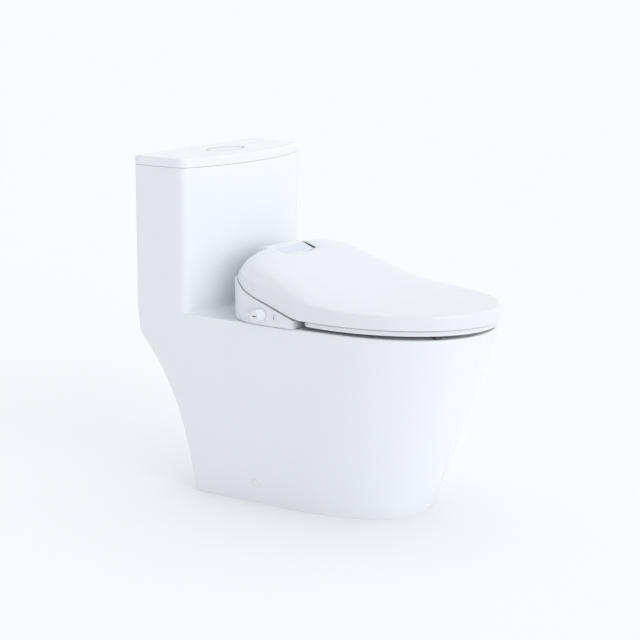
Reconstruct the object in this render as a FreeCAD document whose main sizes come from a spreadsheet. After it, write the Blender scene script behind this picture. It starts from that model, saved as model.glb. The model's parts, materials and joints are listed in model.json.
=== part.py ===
"""One-piece smart toilet with a heated seat, as separate pieces.

Millimetres. +X is to the right for someone looking at the front, the front faces -Y and +Z is up.
The origin is on the floor, in the plane of symmetry, at the centre of the drain outlet.
"""
import FreeCAD, Part
import math
import os
import Sketcher
from FreeCAD import Placement, Rotation, Vector

# ---------------------------------------------------------------- driving sizes
SIZES = {
    # china: tank
    "tank_width": 406.0, "tank_back": 290.0, "tank_side": 133.0, "tank_bow": 41.5,
    "tank_front_round": 20.0, "tank_back_round": 10.0, "tank_wall": 9.0,
    "tank_floor_top": 372.0, "tank_floor_thick": 14.0, "seam_height": 701.0,
    # china: skirt, deck and rim
    "deck_height": 396.0, "deck_thick": 14.0, "skirt_wall": 12.0, "overhang_height": 341.0,
    "floor_back": 176.5, "floor_back_half": 154.0, "floor_front": 308.0, "floor_half": 148.0,
    "floor_widest": 25.0, "rim_half": 187.0, "rim_front": 447.0, "rim_widest": 176.0,
    # china: bowl, trap and drain
    "bowl_half": 125.0, "bowl_front": 402.0, "bowl_back": 90.0, "bowl_floor": 100.0,
    "bowl_wall": 12.0, "trap_radius": 27.0, "trap_wall": 11.0, "weir_height": 232.0,
    "trap_low": 116.0, "drain_radius": 30.0, "drain_length": 40.0,
    # tank lid and flush button
    "lid_thick": 20.0, "lid_skirt": 10.0, "lid_lip_drop": 7.0, "lid_lip_gap": 2.5,
    "button_place": 205.0, "button_half_width": 49.0, "button_half_depth": 25.0,
    "button_gap": 0.6, "button_travel": 7.0, "bezel_wall": 4.0,
    # flush and fill valves
    "flush_hole_radius": 30.0, "canister_radius": 15.0, "canister_top": 625.0,
    "fill_place": 130.0, "fill_hole_radius": 10.0, "float_height": 500.0,
    # floor fixing
    "fixing_place": 11.0, "fixing_height": 46.0, "cap_radius": 8.0, "bracket_hole_radius": 4.5,
    "bracket_hole_half": 112.0,
    # bidet unit
    "unit_half": 197.0, "unit_front": 116.0, "unit_back": 88.0, "unit_round": 116.0,
    "unit_bottom": 397.0, "unit_wall": 3.0, "ledge_inset": 6.0, "cover_inset": 14.0,
    "tower_half": 57.0, "seat_bolt_pitch": 140.0, "seat_bolt_place": 15.0,
    "seat_bolt_radius": 5.0, "hinge_place": 60.0, "hinge_height": 498.0, "pin_radius": 4.0,
    "pin_gap": 0.06, "knob_place": 37.4, "knob_height": 418.0, "knob_radius": 12.3,
    "inlet_place": -8.0, "inlet_height": 411.5, "inlet_radius": 8.3,
    # washing wand
    "wand_radius": 7.0, "wand_length": 165.0, "wand_slope": 30.0, "wand_travel": 100.0,
    "housing_gap": 0.8, "housing_wall": 2.2, "pinion_radius": 8.0, "pinion_teeth": 16.0,
    # seat and lid
    "seat_bottom": 404.0, "seat_edge_top": 414.8, "seat_crown": 421.0, "seat_inset": 6.0,
    "seat_hole_half": 105.0, "seat_hole_front": 405.0, "seat_hole_back": 149.0,
    "seat_back": 126.0, "seat_wall": 3.0, "cover_half": 193.7, "cover_front": 458.5,
    "cover_widest": 185.0, "cover_back": 80.0, "cover_back_round": 104.0, "cover_wall": 3.5,
    "cover_gap": 0.4, "seam_gap": 1.5, "arm_inner": 67.5, "arm_width": 8.5,
}

doc = FreeCAD.newDocument("SmartToilet")
sheet = doc.addObject("Spreadsheet::Sheet", "Sizes")
for row, (alias, value) in enumerate(SIZES.items(), start=1):
    sheet.set("A%d" % row, alias)
    sheet.set("B%d" % row, str(value))
    sheet.setAlias("B%d" % row, alias)
doc.recompute()


class Measure:
    """A size that knows both its number and the sheet expression that it comes from."""

    def __init__(self, value, text):
        self.value = value
        self.text = text

    def __float__(self):
        return float(self.value)

    def joined(self, other, sign, value):
        return Measure(value, "(%s %s %s)" % (self.text, sign, text_of(other)))

    def __add__(self, other):
        return self.joined(other, "+", float(self) + float(other))

    def __sub__(self, other):
        return self.joined(other, "-", float(self) - float(other))

    def __mul__(self, other):
        return self.joined(other, "*", float(self) * float(other))

    def __truediv__(self, other):
        return self.joined(other, "/", float(self) / float(other))

    def __radd__(self, other):
        return Measure(float(other), text_of(other)) + self

    def __rsub__(self, other):
        return Measure(float(other), text_of(other)) - self

    def __rmul__(self, other):
        return Measure(float(other), text_of(other)) * self

    def __neg__(self):
        return 0.0 - self


def text_of(number):
    return number.text if isinstance(number, Measure) else "(%r)" % float(number)


class Sizes:
    """The sheet's cells by alias, such as sizes.tank_width."""

    def __getattr__(self, alias):
        return Measure(float(sheet.get(alias)), "Sizes." + alias)


sizes = Sizes()
NODES = {}


# ---------------------------------------------------------------- ways to make a piece
def bind(item, field, number):
    """Set a field of an object, through the sheet where the number comes from there."""
    item.setExpression(field, text_of(number))


def place(item, at, turn=None):
    if turn is not None:
        item.Placement = Placement(Vector(), turn)
    for axis, number in zip("xyz", at):
        bind(item, "Placement.Base." + axis, number)
    return item


def box(name, low, high):
    """A block between two corners."""
    item = doc.addObject("Part::Box", name)
    for field, start, end in zip(("Length", "Width", "Height"), low, high):
        bind(item, field, end - start if isinstance(end, Measure) else 0.0 - (start - end))
    return place(item, low)


def rod(name, radius, length, at, turn=None):
    """A cylinder from a point, along +Z or along the turned +Z."""
    item = doc.addObject("Part::Cylinder", name)
    bind(item, "Radius", radius)
    bind(item, "Height", length)
    return place(item, at, turn)


def cut(name, base, *tools):
    for number, tool in enumerate(tools):
        item = doc.addObject("Part::Cut", "%s_cut%d" % (name, number))
        item.Base = base
        item.Tool = tool
        base = item
    return base


def fuse(name, *items):
    item = doc.addObject("Part::MultiFuse", name + "_fuse")
    item.Shapes = list(items)
    item.Refine = True
    return item


def group(name, *items):
    item = doc.addObject("Part::Compound", name + "_group")
    item.Links = list(items)
    return item


def free_form(name, shape):
    item = doc.addObject("Part::Feature", name)
    item.Shape = shape
    return item


def keep(label, item):
    item.Label = label
    NODES[label] = item
    return item


ALONG_X = Rotation(Vector(0, 1, 0), 90)
AGAINST_X = Rotation(Vector(0, 1, 0), -90)
ALONG_Y = Rotation(Vector(1, 0, 0), -90)


def sketch_on(body, role, name):
    sketch = body.newObject("Sketcher::SketchObject", name)
    plane = next(item for item in body.Origin.OriginFeatures if item.Role == role)
    sketch.AttachmentSupport = [(plane, "")]
    sketch.MapMode = "FlatFace"
    return sketch


def draw_outline(sketch, points):
    """A closed outline of straight lines, each corner held by two distances from the origin."""
    corners = [Vector(float(across), float(up), 0) for across, up in points]
    first = sketch.GeometryCount
    count = len(corners)
    for number in range(count):
        line = Part.LineSegment(corners[number], corners[(number + 1) % count])
        sketch.addGeometry(line, False)
    for number in range(count):
        here = first + number
        after = first + (number + 1) % count
        sketch.addConstraint(Sketcher.Constraint("Coincident", here, 2, after, 1))
    for number, (across, up) in enumerate(points):
        for kind, distance in (("DistanceX", across), ("DistanceY", up)):
            constraint = Sketcher.Constraint(kind, -1, 1, first + number, 1, float(distance))
            index = sketch.addConstraint(constraint)
            if isinstance(distance, Measure):
                sketch.setExpression("Constraints[%d]" % index, distance.text)


def turned(name, points, at=(0.0, 0.0, 0.0), turn=None):
    """A body of revolution about its own Z, from (radius, height) corners."""
    body = doc.addObject("PartDesign::Body", name)
    sketch = sketch_on(body, "XZ_Plane", name + "_profile")
    draw_outline(sketch, points)
    feature = body.newObject("PartDesign::Revolution", name + "_turn")
    feature.Profile = sketch
    feature.ReferenceAxis = (sketch, ["V_Axis"])
    feature.Angle = 360.0
    body.Tip = feature
    return place(body, at, turn)


def mixed(low, high, share):
    return low + (high - low) * share


def smooth_step(share):
    share = min(1.0, max(0.0, share))
    return share * share * (3 - 2 * share)


def straight_wire(points):
    edges = []
    for start, end in zip(points, points[1:] + points[:1]):
        if (end - start).Length > 1e-7:
            edges.append(Part.makeLine(start, end))
    return Part.Wire(edges)


def prism_of_side(points, half):
    """A solid with a (y, z) outline, from x = -half to x = half."""
    wire = straight_wire([Vector(-half, y, z) for y, z in points])
    return Part.Face(wire).extrude(Vector(2 * half, 0, 0))


def pipe_path(points, radius):
    """Straight runs joined by tangent arcs of one radius."""
    edges = []
    last = points[0]
    for before, corner, after in zip(points, points[1:], points[2:]):
        back = (before - corner).normalize()
        ahead = (after - corner).normalize()
        half_angle = back.getAngle(ahead) / 2
        reach = radius / math.tan(half_angle)
        start = corner + back * reach
        end = corner + ahead * reach
        middle_way = (back + ahead).normalize()
        middle = corner + middle_way * (radius / math.sin(half_angle) - radius)
        edges.append(Part.LineSegment(last, start).toShape())
        edges.append(Part.Arc(start, middle, end).toShape())
        last = end
    edges.append(Part.LineSegment(last, points[-1]).toShape())
    return Part.Wire(edges)


def pipe(points, bend, radius):
    """A round solid along a path."""
    path = pipe_path(points, bend)
    section = Part.Wire(Part.makeCircle(radius, points[0], points[1] - points[0]))
    return path.makePipeShell([section], True, False)


# ---------------------------------------------------------------- china
def back_line(height):
    """How far back the china reaches at a height: nearly upright, then sweeping out to the tank."""
    share = min(1.0, max(0.0, height) / float(sizes.overhang_height))
    sweep = 0.3 * share + 0.7 * share ** 3.3
    return mixed(float(sizes.floor_back), float(sizes.tank_back), sweep)


def china_outline(height, inset):
    """The china's level outline: straight back, round corners, one curve round sides and front."""
    share = height / float(sizes.deck_height)
    swell = 6.0 * 4 * share * (1 - share)
    half = mixed(float(sizes.floor_half), float(sizes.rim_half), share) - inset
    front = mixed(float(sizes.floor_front), float(sizes.rim_front), share) + swell - inset
    widest = mixed(float(sizes.floor_widest), float(sizes.rim_widest), share)
    power = mixed(2.34, 2.26, share)
    tank_half = float(sizes.tank_width) / 2
    back_half = mixed(float(sizes.floor_back_half), tank_half, share) - inset
    back = back_line(height) - inset
    corner = float(sizes.tank_back_round)
    tank_front = float(sizes.tank_back) - float(sizes.tank_side)
    straight_end = min(tank_front, back - corner - 8.0)
    side = [(back_half, back - corner)]
    for step in (1.0, 0.66, 0.33, 0.0):
        spread = 1 - (1 - step) ** 1.3
        side.append((mixed(half, back_half, spread), mixed(-widest, straight_end, step)))
    for degrees in (12, 25, 40, 55, 70, 82):
        angle = math.radians(degrees)
        side.append((half * math.cos(angle) ** (2 / power),
                     -widest - (front - widest) * math.sin(angle) ** (2 / power)))
    points = [Vector(x, y, height) for x, y in side]
    points.append(Vector(0, -front, height))
    points += [Vector(-x, y, height) for x, y in reversed(side)]
    curve = Part.BSplineCurve()
    curve.interpolate(Points=points, InitialTangent=Vector(0, -1, 0), FinalTangent=Vector(0, 1, 0))
    diagonal = corner * (1 - math.sqrt(0.5))
    left = Part.Arc(Vector(-back_half, back - corner, height),
                    Vector(-back_half + diagonal, back - diagonal, height),
                    Vector(-back_half + corner, back, height))
    rear = Part.LineSegment(Vector(-back_half + corner, back, height),
                            Vector(back_half - corner, back, height))
    right = Part.Arc(Vector(back_half - corner, back, height),
                     Vector(back_half - diagonal, back - diagonal, height),
                     Vector(back_half, back - corner, height))
    return Part.Wire([curve.toShape(), left.toShape(), rear.toShape(), right.toShape()])


def china_loft(low, high, inset, steps):
    heights = [mixed(low, high, step / steps) for step in range(steps + 1)]
    return Part.makeLoft([china_outline(height, inset) for height in heights], True, False)


def tank_prism(inset, low, high):
    """The tank's level outline, bowed at the front, carried straight up."""
    half = float(sizes.tank_width) / 2 - inset
    back = float(sizes.tank_back) - inset
    side_front = float(sizes.tank_back) - float(sizes.tank_side)
    middle_front = side_front - float(sizes.tank_bow) + inset
    side_front = side_front + inset * 0.8
    wire = Part.Wire([
        Part.makeLine(Vector(half, side_front, low), Vector(half, back, low)),
        Part.makeLine(Vector(half, back, low), Vector(-half, back, low)),
        Part.makeLine(Vector(-half, back, low), Vector(-half, side_front, low)),
        Part.Arc(Vector(-half, side_front, low), Vector(0, middle_front, low),
                 Vector(half, side_front, low)).toShape(),
    ])
    solid = Part.Face(wire).extrude(Vector(0, 0, high - low))
    upright = [edge for edge in solid.Edges if abs(edge.tangentAt(edge.FirstParameter).z) > 0.99]
    front = [edge for edge in upright if edge.CenterOfMass.y < back - 5]
    rear = [edge for edge in upright if edge.CenterOfMass.y >= back - 5]
    solid = solid.makeFillet(max(3.0, float(sizes.tank_front_round) - inset), front)
    rear = [edge for edge in solid.Edges
            if abs(edge.tangentAt(edge.FirstParameter).z) > 0.99
            and edge.CenterOfMass.y >= back - 1 and abs(edge.CenterOfMass.x) > half - 1]
    return solid.makeFillet(max(3.0, float(sizes.tank_back_round) - inset / 2), rear)


def bowl_loft(extra, low, high):
    """The bowl, or with an extra its outer wall, as ovals that shrink and move back going down."""
    half = float(sizes.bowl_half)
    length = (float(sizes.bowl_front) - float(sizes.bowl_back)) / 2
    middle = -(float(sizes.bowl_front) + float(sizes.bowl_back)) / 2
    top = float(sizes.deck_height)
    floor = float(sizes.bowl_floor)
    # share of the depth, share of the width, share of the length, forward shift of the middle
    rings = [(0.0, 1.0, 1.0, 0), (0.05, 1.0, 1.0, 0), (0.2, 1.0, 0.975, 0), (0.4, 0.84, 0.81, -2),
             (0.63, 0.53, 0.52, -6), (0.83, 0.35, 0.32, 5), (0.94, 0.26, 0.22, 16),
             (1.0, 0.17, 0.14, 22)]
    wires = []
    for depth, wide, long, shift in rings:
        centre = Vector(0, middle + shift, mixed(high, low, depth))
        oval = Part.Ellipse(centre + Vector(0, length * long + extra, 0),
                            centre + Vector(half * wide + extra, 0, 0), centre)
        wires.append(Part.Wire(oval.toShape()))
    return Part.makeLoft(wires, True, False)


def trap_points():
    """The trap's centre line: out of the sump, up over the weir and down to the drain."""
    low = float(sizes.trap_low)
    weir = float(sizes.weir_height)
    return [Vector(0, -226, low), Vector(0, -160, low), Vector(0, -92, weir),
            Vector(0, 0, weir), Vector(0, 0, 0)]


def china_solid():
    deck = float(sizes.deck_height)
    overhang = float(sizes.overhang_height)
    seam = float(sizes.seam_height)
    wall = float(sizes.skirt_wall)
    bend = 50.0
    outer = china_loft(0.0, overhang, 0.0, 8)
    outer = outer.fuse(china_loft(overhang, deck, 0.0, 1))
    outer = outer.fuse(tank_prism(0.0, deck, seam))

    ceiling = deck - float(sizes.deck_thick)
    slab_bottom = float(sizes.tank_floor_top) - float(sizes.tank_floor_thick)
    hollow = china_loft(-3.0, overhang, wall, 8).fuse(china_loft(overhang, ceiling, wall, 1))
    slab = Part.makeBox(500, 300, 100, Vector(-250, 100, slab_bottom))
    hollow = hollow.cut(slab)
    bowl_skin = bowl_loft(float(sizes.bowl_wall), float(sizes.bowl_floor) - 12, deck)
    trap_skin = pipe(trap_points(), bend, float(sizes.trap_radius) + float(sizes.trap_wall))
    drain_skin = Part.makeCylinder(float(sizes.drain_radius) + float(sizes.trap_wall),
                                   float(sizes.drain_length) + 8)
    channel_skin = Part.makeBox(94, 358, 62, Vector(-47, -110, ceiling - 60))
    hollow = hollow.cut([bowl_skin, trap_skin, drain_skin, channel_skin])
    china = outer.cut(hollow)

    bowl = bowl_loft(0.0, float(sizes.bowl_floor), deck + 0.01)
    trap = pipe(trap_points(), bend, float(sizes.trap_radius))
    drain = Part.makeCylinder(float(sizes.drain_radius), float(sizes.drain_length))
    channel = Part.makeBox(70, 365, slab_bottom - ceiling + 48, Vector(-35, -130, ceiling - 48))
    cistern = tank_prism(float(sizes.tank_wall), float(sizes.tank_floor_top), seam + 1)
    return china.cut([bowl, trap, drain, channel, cistern])


def side_of_china():
    """How far out the skirt's side stands at the side fixing."""
    return 153.2


def make_china():
    body = free_form("china_raw", china_solid())
    floor_top = sizes.tank_floor_top
    below = floor_top - sizes.tank_floor_thick - 4.0
    drills = [rod("flush_hole", sizes.flush_hole_radius, floor_top - below + 1.0,
                  (0.0, sizes.button_place, below)),
              rod("fill_hole", sizes.fill_hole_radius, floor_top - below + 1.0,
                  (-sizes.fill_place, sizes.button_place, below))]
    for side in (-1.0, 1.0):
        tag = "left" if side < 0 else "right"
        drills.append(rod("seat_bolt_hole_" + tag, sizes.seat_bolt_radius + 2.0,
                          sizes.deck_thick + 4.0,
                          (side * sizes.seat_bolt_pitch / 2, sizes.seat_bolt_place,
                           sizes.deck_height - sizes.deck_thick - 2.0)))
        outward = ALONG_X if side > 0 else AGAINST_X
        drills.append(rod("fixing_hole_" + tag, 5.0, 60.0,
                          (side * 120.0, sizes.fixing_place, sizes.fixing_height), outward))
        drills.append(rod("cap_seat_" + tag, sizes.cap_radius + 0.3, 20.0,
                          (side * side_of_china(), sizes.fixing_place, sizes.fixing_height),
                          outward))
    for number, (across, along) in enumerate(flush_screw_places()):
        drills.append(rod("flush_screw_hole_%d" % number, 2.6, 12.0,
                          (across, sizes.button_place + along, floor_top - 11.0)))
    keep("china_body", cut("china", body, *drills))


def flush_screw_places():
    reach = 38.0
    angles = (90, 210, 330)
    return [(reach * math.cos(math.radians(a)), reach * math.sin(math.radians(a))) for a in angles]


def make_floor_fixings():
    seal = turned("outlet_seal_ring", [
        (sizes.drain_radius + sizes.trap_wall + 0.3, 1.0),
        (sizes.drain_radius + sizes.trap_wall + 14.0, 1.0),
        (sizes.drain_radius + sizes.trap_wall + 10.0, 20.0),
        (sizes.drain_radius + sizes.trap_wall + 0.3, 20.0)])
    keep("outlet_seal", seal)
    brackets, screws, caps = [], [], []
    for side, tag in ((-1.0, "left"), (1.0, "right")):
        outward = ALONG_X if side > 0 else AGAINST_X
        inner, outer, leg = 92.0 * side, 134.0 * side, 122.0 * side
        place_y = sizes.fixing_place
        foot = box("foot_" + tag, (min(inner, outer), place_y - 30.0, 0.0),
                   (max(inner, outer), place_y + 30.0, 8.0))
        upright = box("upright_" + tag, (min(leg, outer), place_y - 30.0, 0.0),
                      (max(leg, outer), place_y + 30.0, sizes.fixing_height + 18.0))
        web = box("web_" + tag, (min(inner, outer), place_y + 24.0, 0.0),
                  (max(inner, outer), place_y + 30.0, sizes.fixing_height))
        hole = rod("floor_hole_" + tag, sizes.bracket_hole_radius, 12.0,
                   (side * sizes.bracket_hole_half, place_y, -2.0))
        thread = rod("side_thread_" + tag, 3.2, 20.0,
                     (side * 118.0, place_y, sizes.fixing_height), outward)
        brackets.append(cut("bracket_" + tag, fuse("bracket_body_" + tag, foot, upright, web),
                            hole, thread))
        screws.append(turned("side_screw_" + tag, [
            (0.0, 0.0), (3.0, 0.0), (3.0, 20.0), (4.6, 22.0), (4.6, 25.0), (0.0, 25.0)],
            (side * 119.0, place_y, sizes.fixing_height), outward))
        caps.append(turned("cap_" + tag, [
            (0.0, -4.5), (3.2, -4.5), (4.7, 0.0), (sizes.cap_radius, 0.0),
            (sizes.cap_radius, 2.4), (sizes.cap_radius - 1.6, 4.0), (0.0, 4.4)],
            (side * (side_of_china() + 0.2), place_y, sizes.fixing_height), outward))
    keep("floor_brackets", group("floor_brackets", *brackets))
    keep("side_fixing_screws", group("side_fixing_screws", *screws))
    keep("bolt_caps", group("bolt_caps", *caps))


# ---------------------------------------------------------------- tank lid and flush button
def oval_prism(half_width, half_depth, low, high):
    """An oval post about the flush button's centre."""
    oval = Part.Ellipse(Vector(0, float(sizes.button_place), low), half_width, half_depth)
    return Part.Face(Part.Wire(oval.toShape())).extrude(Vector(0, 0, high - low))


def make_tank_lid():
    seam = float(sizes.seam_height)
    top = seam + float(sizes.lid_thick)
    under = seam + float(sizes.lid_skirt)
    wide = float(sizes.button_half_width) + float(sizes.button_gap)
    deep = float(sizes.button_half_depth) + float(sizes.button_gap)
    wall = float(sizes.bezel_wall)
    lid = tank_prism(0.0, seam, top)
    crown = [edge for edge in lid.Edges if edge.BoundBox.ZMin > top - 0.01]
    lid = lid.makeFillet(6.0, crown)
    lip_inset = float(sizes.tank_wall) + float(sizes.lid_lip_gap)
    lip = tank_prism(lip_inset, seam - float(sizes.lid_lip_drop), under)
    pocket = tank_prism(lip_inset + 5.0, seam - 20.0, under)
    lid = lid.fuse(lip).cut(pocket)
    lid = lid.cut([oval_prism(wide + wall - 1.6, deep + wall - 1.6, under - 1, top + 1),
                   oval_prism(wide + wall + 0.3, deep + wall + 0.3, top - 2.2, top + 1)])
    keep("tank_lid", free_form("tank_lid_shape", lid))

    flange = oval_prism(wide + wall, deep + wall, top - 2.0, top)
    cup = oval_prism(wide + wall - 2.0, deep + wall - 2.0, under - 9.0, top)
    well = oval_prism(wide, deep, under - 6.0, top + 1)
    rod_hole = Part.makeCylinder(3.4, 20, Vector(-44, float(sizes.button_place), under - 15))
    bezel = flange.fuse(cup).cut([well, rod_hole])
    keep("flush_bezel", free_form("flush_bezel_shape", bezel))

    clip_outer = oval_prism(wide + wall + 4.0, deep + wall + 4.0, under - 3.2, under - 0.2)
    clip_hole = oval_prism(wide + wall - 1.9, deep + wall - 1.9, under - 10, under + 10)
    keep("bezel_clip", free_form("bezel_clip_shape", clip_outer.cut(clip_hole)))

    button = oval_prism(wide - float(sizes.button_gap), deep - float(sizes.button_gap),
                        top - 4.5, top - 0.4)
    rim = [edge for edge in button.Edges if edge.BoundBox.ZMin > top - 0.5]
    button = button.makeFillet(1.2, rim)
    push_rod = Part.makeCylinder(3.0, top - 4.0 - rod_foot(),
                                 Vector(-44, float(sizes.button_place), rod_foot()))
    keep("flush_button", free_form("flush_button_shape", button.fuse(push_rod)))


def rod_foot():
    """Height of the push rod's lower end, just over the lever's short end."""
    return lever_height() + 14.0 * math.sin(lever_tilt()) + 3.4


def lever_height():
    return float(sizes.canister_top) - 13.0


def lever_tilt():
    """Half the lever's swing, which its short end of 14 mm makes for the button's travel."""
    return math.asin(float(sizes.button_travel) / 2 / 14.0)


# ---------------------------------------------------------------- flush and fill valves
def make_flush_valve():
    floor_top = sizes.tank_floor_top
    centre = (0.0, sizes.button_place, 0.0)
    keep("flush_valve_base", turned("flush_base", [
        (25.0, floor_top - 19.0), (sizes.flush_hole_radius - 1.0, floor_top - 19.0),
        (sizes.flush_hole_radius - 1.0, floor_top + 2.0), (44.0, floor_top + 2.0),
        (44.0, floor_top + 6.0), (28.0, floor_top + 6.0), (28.0, floor_top + 11.0),
        (25.0, floor_top + 11.0)], centre))
    base = NODES.pop("flush_valve_base")
    holes = [rod("flush_base_hole_%d" % number, 2.7, 12.0,
                 (across, sizes.button_place + along, floor_top))
             for number, (across, along) in enumerate(flush_screw_places())]
    keep("flush_valve_base", cut("flush_base", base, *holes))
    base.Label = "flush_base_body"
    keep("flush_valve_gasket", turned("flush_gasket", [
        (sizes.flush_hole_radius - 0.8, floor_top), (34.0, floor_top),
        (34.0, floor_top + 2.0), (sizes.flush_hole_radius - 0.8, floor_top + 2.0)], centre))
    screws = [turned("flush_screw_%d" % number, [
        (0.0, floor_top - 10.0), (2.5, floor_top - 10.0), (2.5, floor_top + 6.0),
        (4.5, floor_top + 6.0), (4.5, floor_top + 9.0), (0.0, floor_top + 9.0)],
        (across, sizes.button_place + along, 0.0))
        for number, (across, along) in enumerate(flush_screw_places())]
    keep("flush_valve_screws", group("flush_valve_screws", *screws))

    ring_low = floor_top + 6.0
    top_plate = lever_height() + 34.0
    y = sizes.button_place
    pieces = [turned("tower_foot", [(29.5, ring_low), (33.0, ring_low), (33.0, ring_low + 6.0),
                                    (29.5, ring_low + 6.0)], centre),
              turned("tower_ring", [(sizes.canister_radius + 1.0, ring_low + 92.0),
                                    (33.0, ring_low + 92.0), (33.0, ring_low + 98.0),
                                    (sizes.canister_radius + 1.0, ring_low + 98.0)], centre)]
    for number, degrees in enumerate((30, 150, 270)):
        across = 31.2 * math.cos(math.radians(degrees))
        along = 31.2 * math.sin(math.radians(degrees))
        pieces.append(rod("tower_leg_%d" % number, 1.7, 90.0,
                          (across, y + along, ring_low + 4.0)))
    for number, side in enumerate((-1.0, 1.0)):
        near, far = sorted((25.0 * side, 31.0 * side))
        pieces.append(box("tower_post_%d" % number, (-4.0, y + near, ring_low + 94.0),
                          (4.0, y + far, top_plate + 1.0)))
        near, far = sorted((10.0 * side, 13.0 * side))
        cheek = box("tower_cheek_%d" % number, (-35.0, y + near, lever_height() - 5.0),
                    (-25.0, y + far, top_plate + 1.0))
        pieces.append(cheek)
    deck = box("tower_deck", (-35.0, y - 33.0, top_plate), (16.0, y + 33.0, top_plate + 5.0))
    deck_hole = rod("tower_deck_hole", 12.0, 20.0, (0.0, y, top_plate - 5.0))
    pin_hole = rod("lever_pin_hole", 2.0, 40.0, (-30.0, y - 20.0, lever_height()), ALONG_Y)
    keep("flush_valve_tower", cut("tower", fuse("tower", *pieces, deck), deck_hole, pin_hole))

    outer = sizes.canister_radius
    keep("flush_canister", turned("canister", [
        (outer - 2.5, floor_top + 14.5), (outer - 2.5, sizes.canister_top),
        (outer + 7.0, sizes.canister_top), (outer + 7.0, sizes.canister_top - 3.0),
        (outer, sizes.canister_top - 3.0), (outer, floor_top + 22.0),
        (27.5, floor_top + 16.5), (27.5, floor_top + 14.5)], centre))
    keep("canister_seal", turned("canister_seal_ring", [
        (18.0, floor_top + 11.2), (28.6, floor_top + 11.2), (28.6, floor_top + 14.5),
        (18.0, floor_top + 14.5)], centre))
    make_flush_lever()


def make_flush_lever():
    """A rocking fork: its short end lies under the push rod, its prongs under the collar."""
    y = float(sizes.button_place)
    level = lever_height()
    hub = Part.makeCylinder(4.5, 19, Vector(-30, y - 9.5, level), Vector(0, 1, 0))
    tongue = Part.makeBox(16, 8, 5, Vector(-48, y - 4, level - 2.5))
    neck = Part.makeBox(10, 19, 5, Vector(-30, y - 9.5, level - 2.5))
    bridge = Part.makeBox(4.5, 41, 5, Vector(-22, y - 20.5, level - 2.5))
    prongs = [Part.makeBox(25, 4, 5, Vector(-20, y - 20.5, level - 2.5)),
              Part.makeBox(25, 4, 5, Vector(-20, y + 16.5, level - 2.5))]
    tube_room = Part.makeCylinder(float(sizes.canister_radius) + 1.2, 60, Vector(0, y, level - 30))
    lever = hub.fuse([tongue, neck, bridge] + prongs).cut(tube_room)
    pin_bore = Part.makeCylinder(2.05, 40, Vector(-30, y - 20, level), Vector(0, 1, 0))
    lever = lever.cut(pin_bore)
    lever.rotate(Vector(-30, y, level), Vector(0, 1, 0), math.degrees(lever_tilt()))
    keep("flush_lever", free_form("flush_lever_shape", lever))
    keep("lever_pin", rod("lever_pin_rod", 2.0, 28.0,
                          (-30.0, sizes.button_place - 14.0, lever_height()), ALONG_Y))


def make_fill_valve():
    floor_top = sizes.tank_floor_top
    centre = (-sizes.fill_place, sizes.button_place, 0.0)
    keep("fill_valve_body", turned("fill_body", [
        (0.0, floor_top - 46.0), (sizes.fill_hole_radius - 1.2, floor_top - 46.0),
        (sizes.fill_hole_radius - 1.2, floor_top - 25.0),
        (sizes.fill_hole_radius - 0.6, floor_top - 25.0),
        (sizes.fill_hole_radius - 0.6, floor_top + 0.0), (17.0, floor_top),
        (17.0, floor_top + 7.0), (10.0, floor_top + 12.0), (10.0, floor_top + 248.0),
        (18.0, floor_top + 252.0), (18.0, floor_top + 276.0), (12.0, floor_top + 282.0),
        (0.0, floor_top + 282.0)], centre))
    keep("fill_valve_nut", turned("fill_nut", [
        (sizes.fill_hole_radius - 0.5, floor_top - 24.0), (16.0, floor_top - 24.0),
        (16.0, floor_top - 14.1), (sizes.fill_hole_radius - 0.5, floor_top - 14.1)], centre))
    keep("fill_float", turned("float_cup", [
        (11.0, sizes.float_height), (34.0, sizes.float_height), (34.0, sizes.float_height + 48.0),
        (30.0, sizes.float_height + 55.0), (11.0, sizes.float_height + 55.0)], centre))
    start = float(floor_top) + 282.0
    high = start + 20.0
    y = float(sizes.button_place)
    x = -float(sizes.fill_place)
    points = [Vector(x, y, start), Vector(x, y, high), Vector(x + 60, y + 40, high),
              Vector(0, y + 40, high), Vector(0, y, high),
              Vector(0, y, float(sizes.canister_top) - 14)]
    keep("refill_pipe", free_form("refill_pipe_shape", pipe(points, 10.0, 3.0)))


# ---------------------------------------------------------------- bidet unit
def unit_outline(inset):
    """The unit's level outline: square at the front, with large round corners at the back."""
    half = float(sizes.unit_half) - inset
    front = -float(sizes.unit_front) + inset
    back = float(sizes.unit_back) - inset
    radius = float(sizes.unit_round) - inset
    turn_y = back - radius
    turn_x = half - radius
    diagonal = radius * math.sqrt(0.5)
    return Part.Wire([
        Part.makeLine(Vector(-half, front, 0), Vector(half, front, 0)),
        Part.makeLine(Vector(half, front, 0), Vector(half, turn_y, 0)),
        Part.Arc(Vector(half, turn_y, 0), Vector(turn_x + diagonal, turn_y + diagonal, 0),
                 Vector(turn_x, back, 0)).toShape(),
        Part.makeLine(Vector(turn_x, back, 0), Vector(-turn_x, back, 0)),
        Part.Arc(Vector(-turn_x, back, 0), Vector(-turn_x - diagonal, turn_y + diagonal, 0),
                 Vector(-half, turn_y, 0)).toShape(),
        Part.makeLine(Vector(-half, turn_y, 0), Vector(-half, front, 0)),
    ])


def unit_prism(inset, low, high):
    wire = unit_outline(inset)
    wire.translate(Vector(0, 0, low))
    return Part.Face(wire).extrude(Vector(0, 0, high - low))


def seam_profile():
    """The top edge of the unit's side wall, as (y, z), front to back."""
    return [(-130.0, 411.0), (-118.0, 412.5), (0.0, 453.0), (20.0, 460.0), (38.0, 469.5),
            (60.0, 475.0), (130.0, 475.0)]


def below_line(line, drop, floor):
    """The region under a (y, z) line lowered by a drop, as a closed outline."""
    lowered = [(y, z - drop) for y, z in line]
    return lowered + [(line[-1][0], floor), (line[0][0], floor)]


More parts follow.
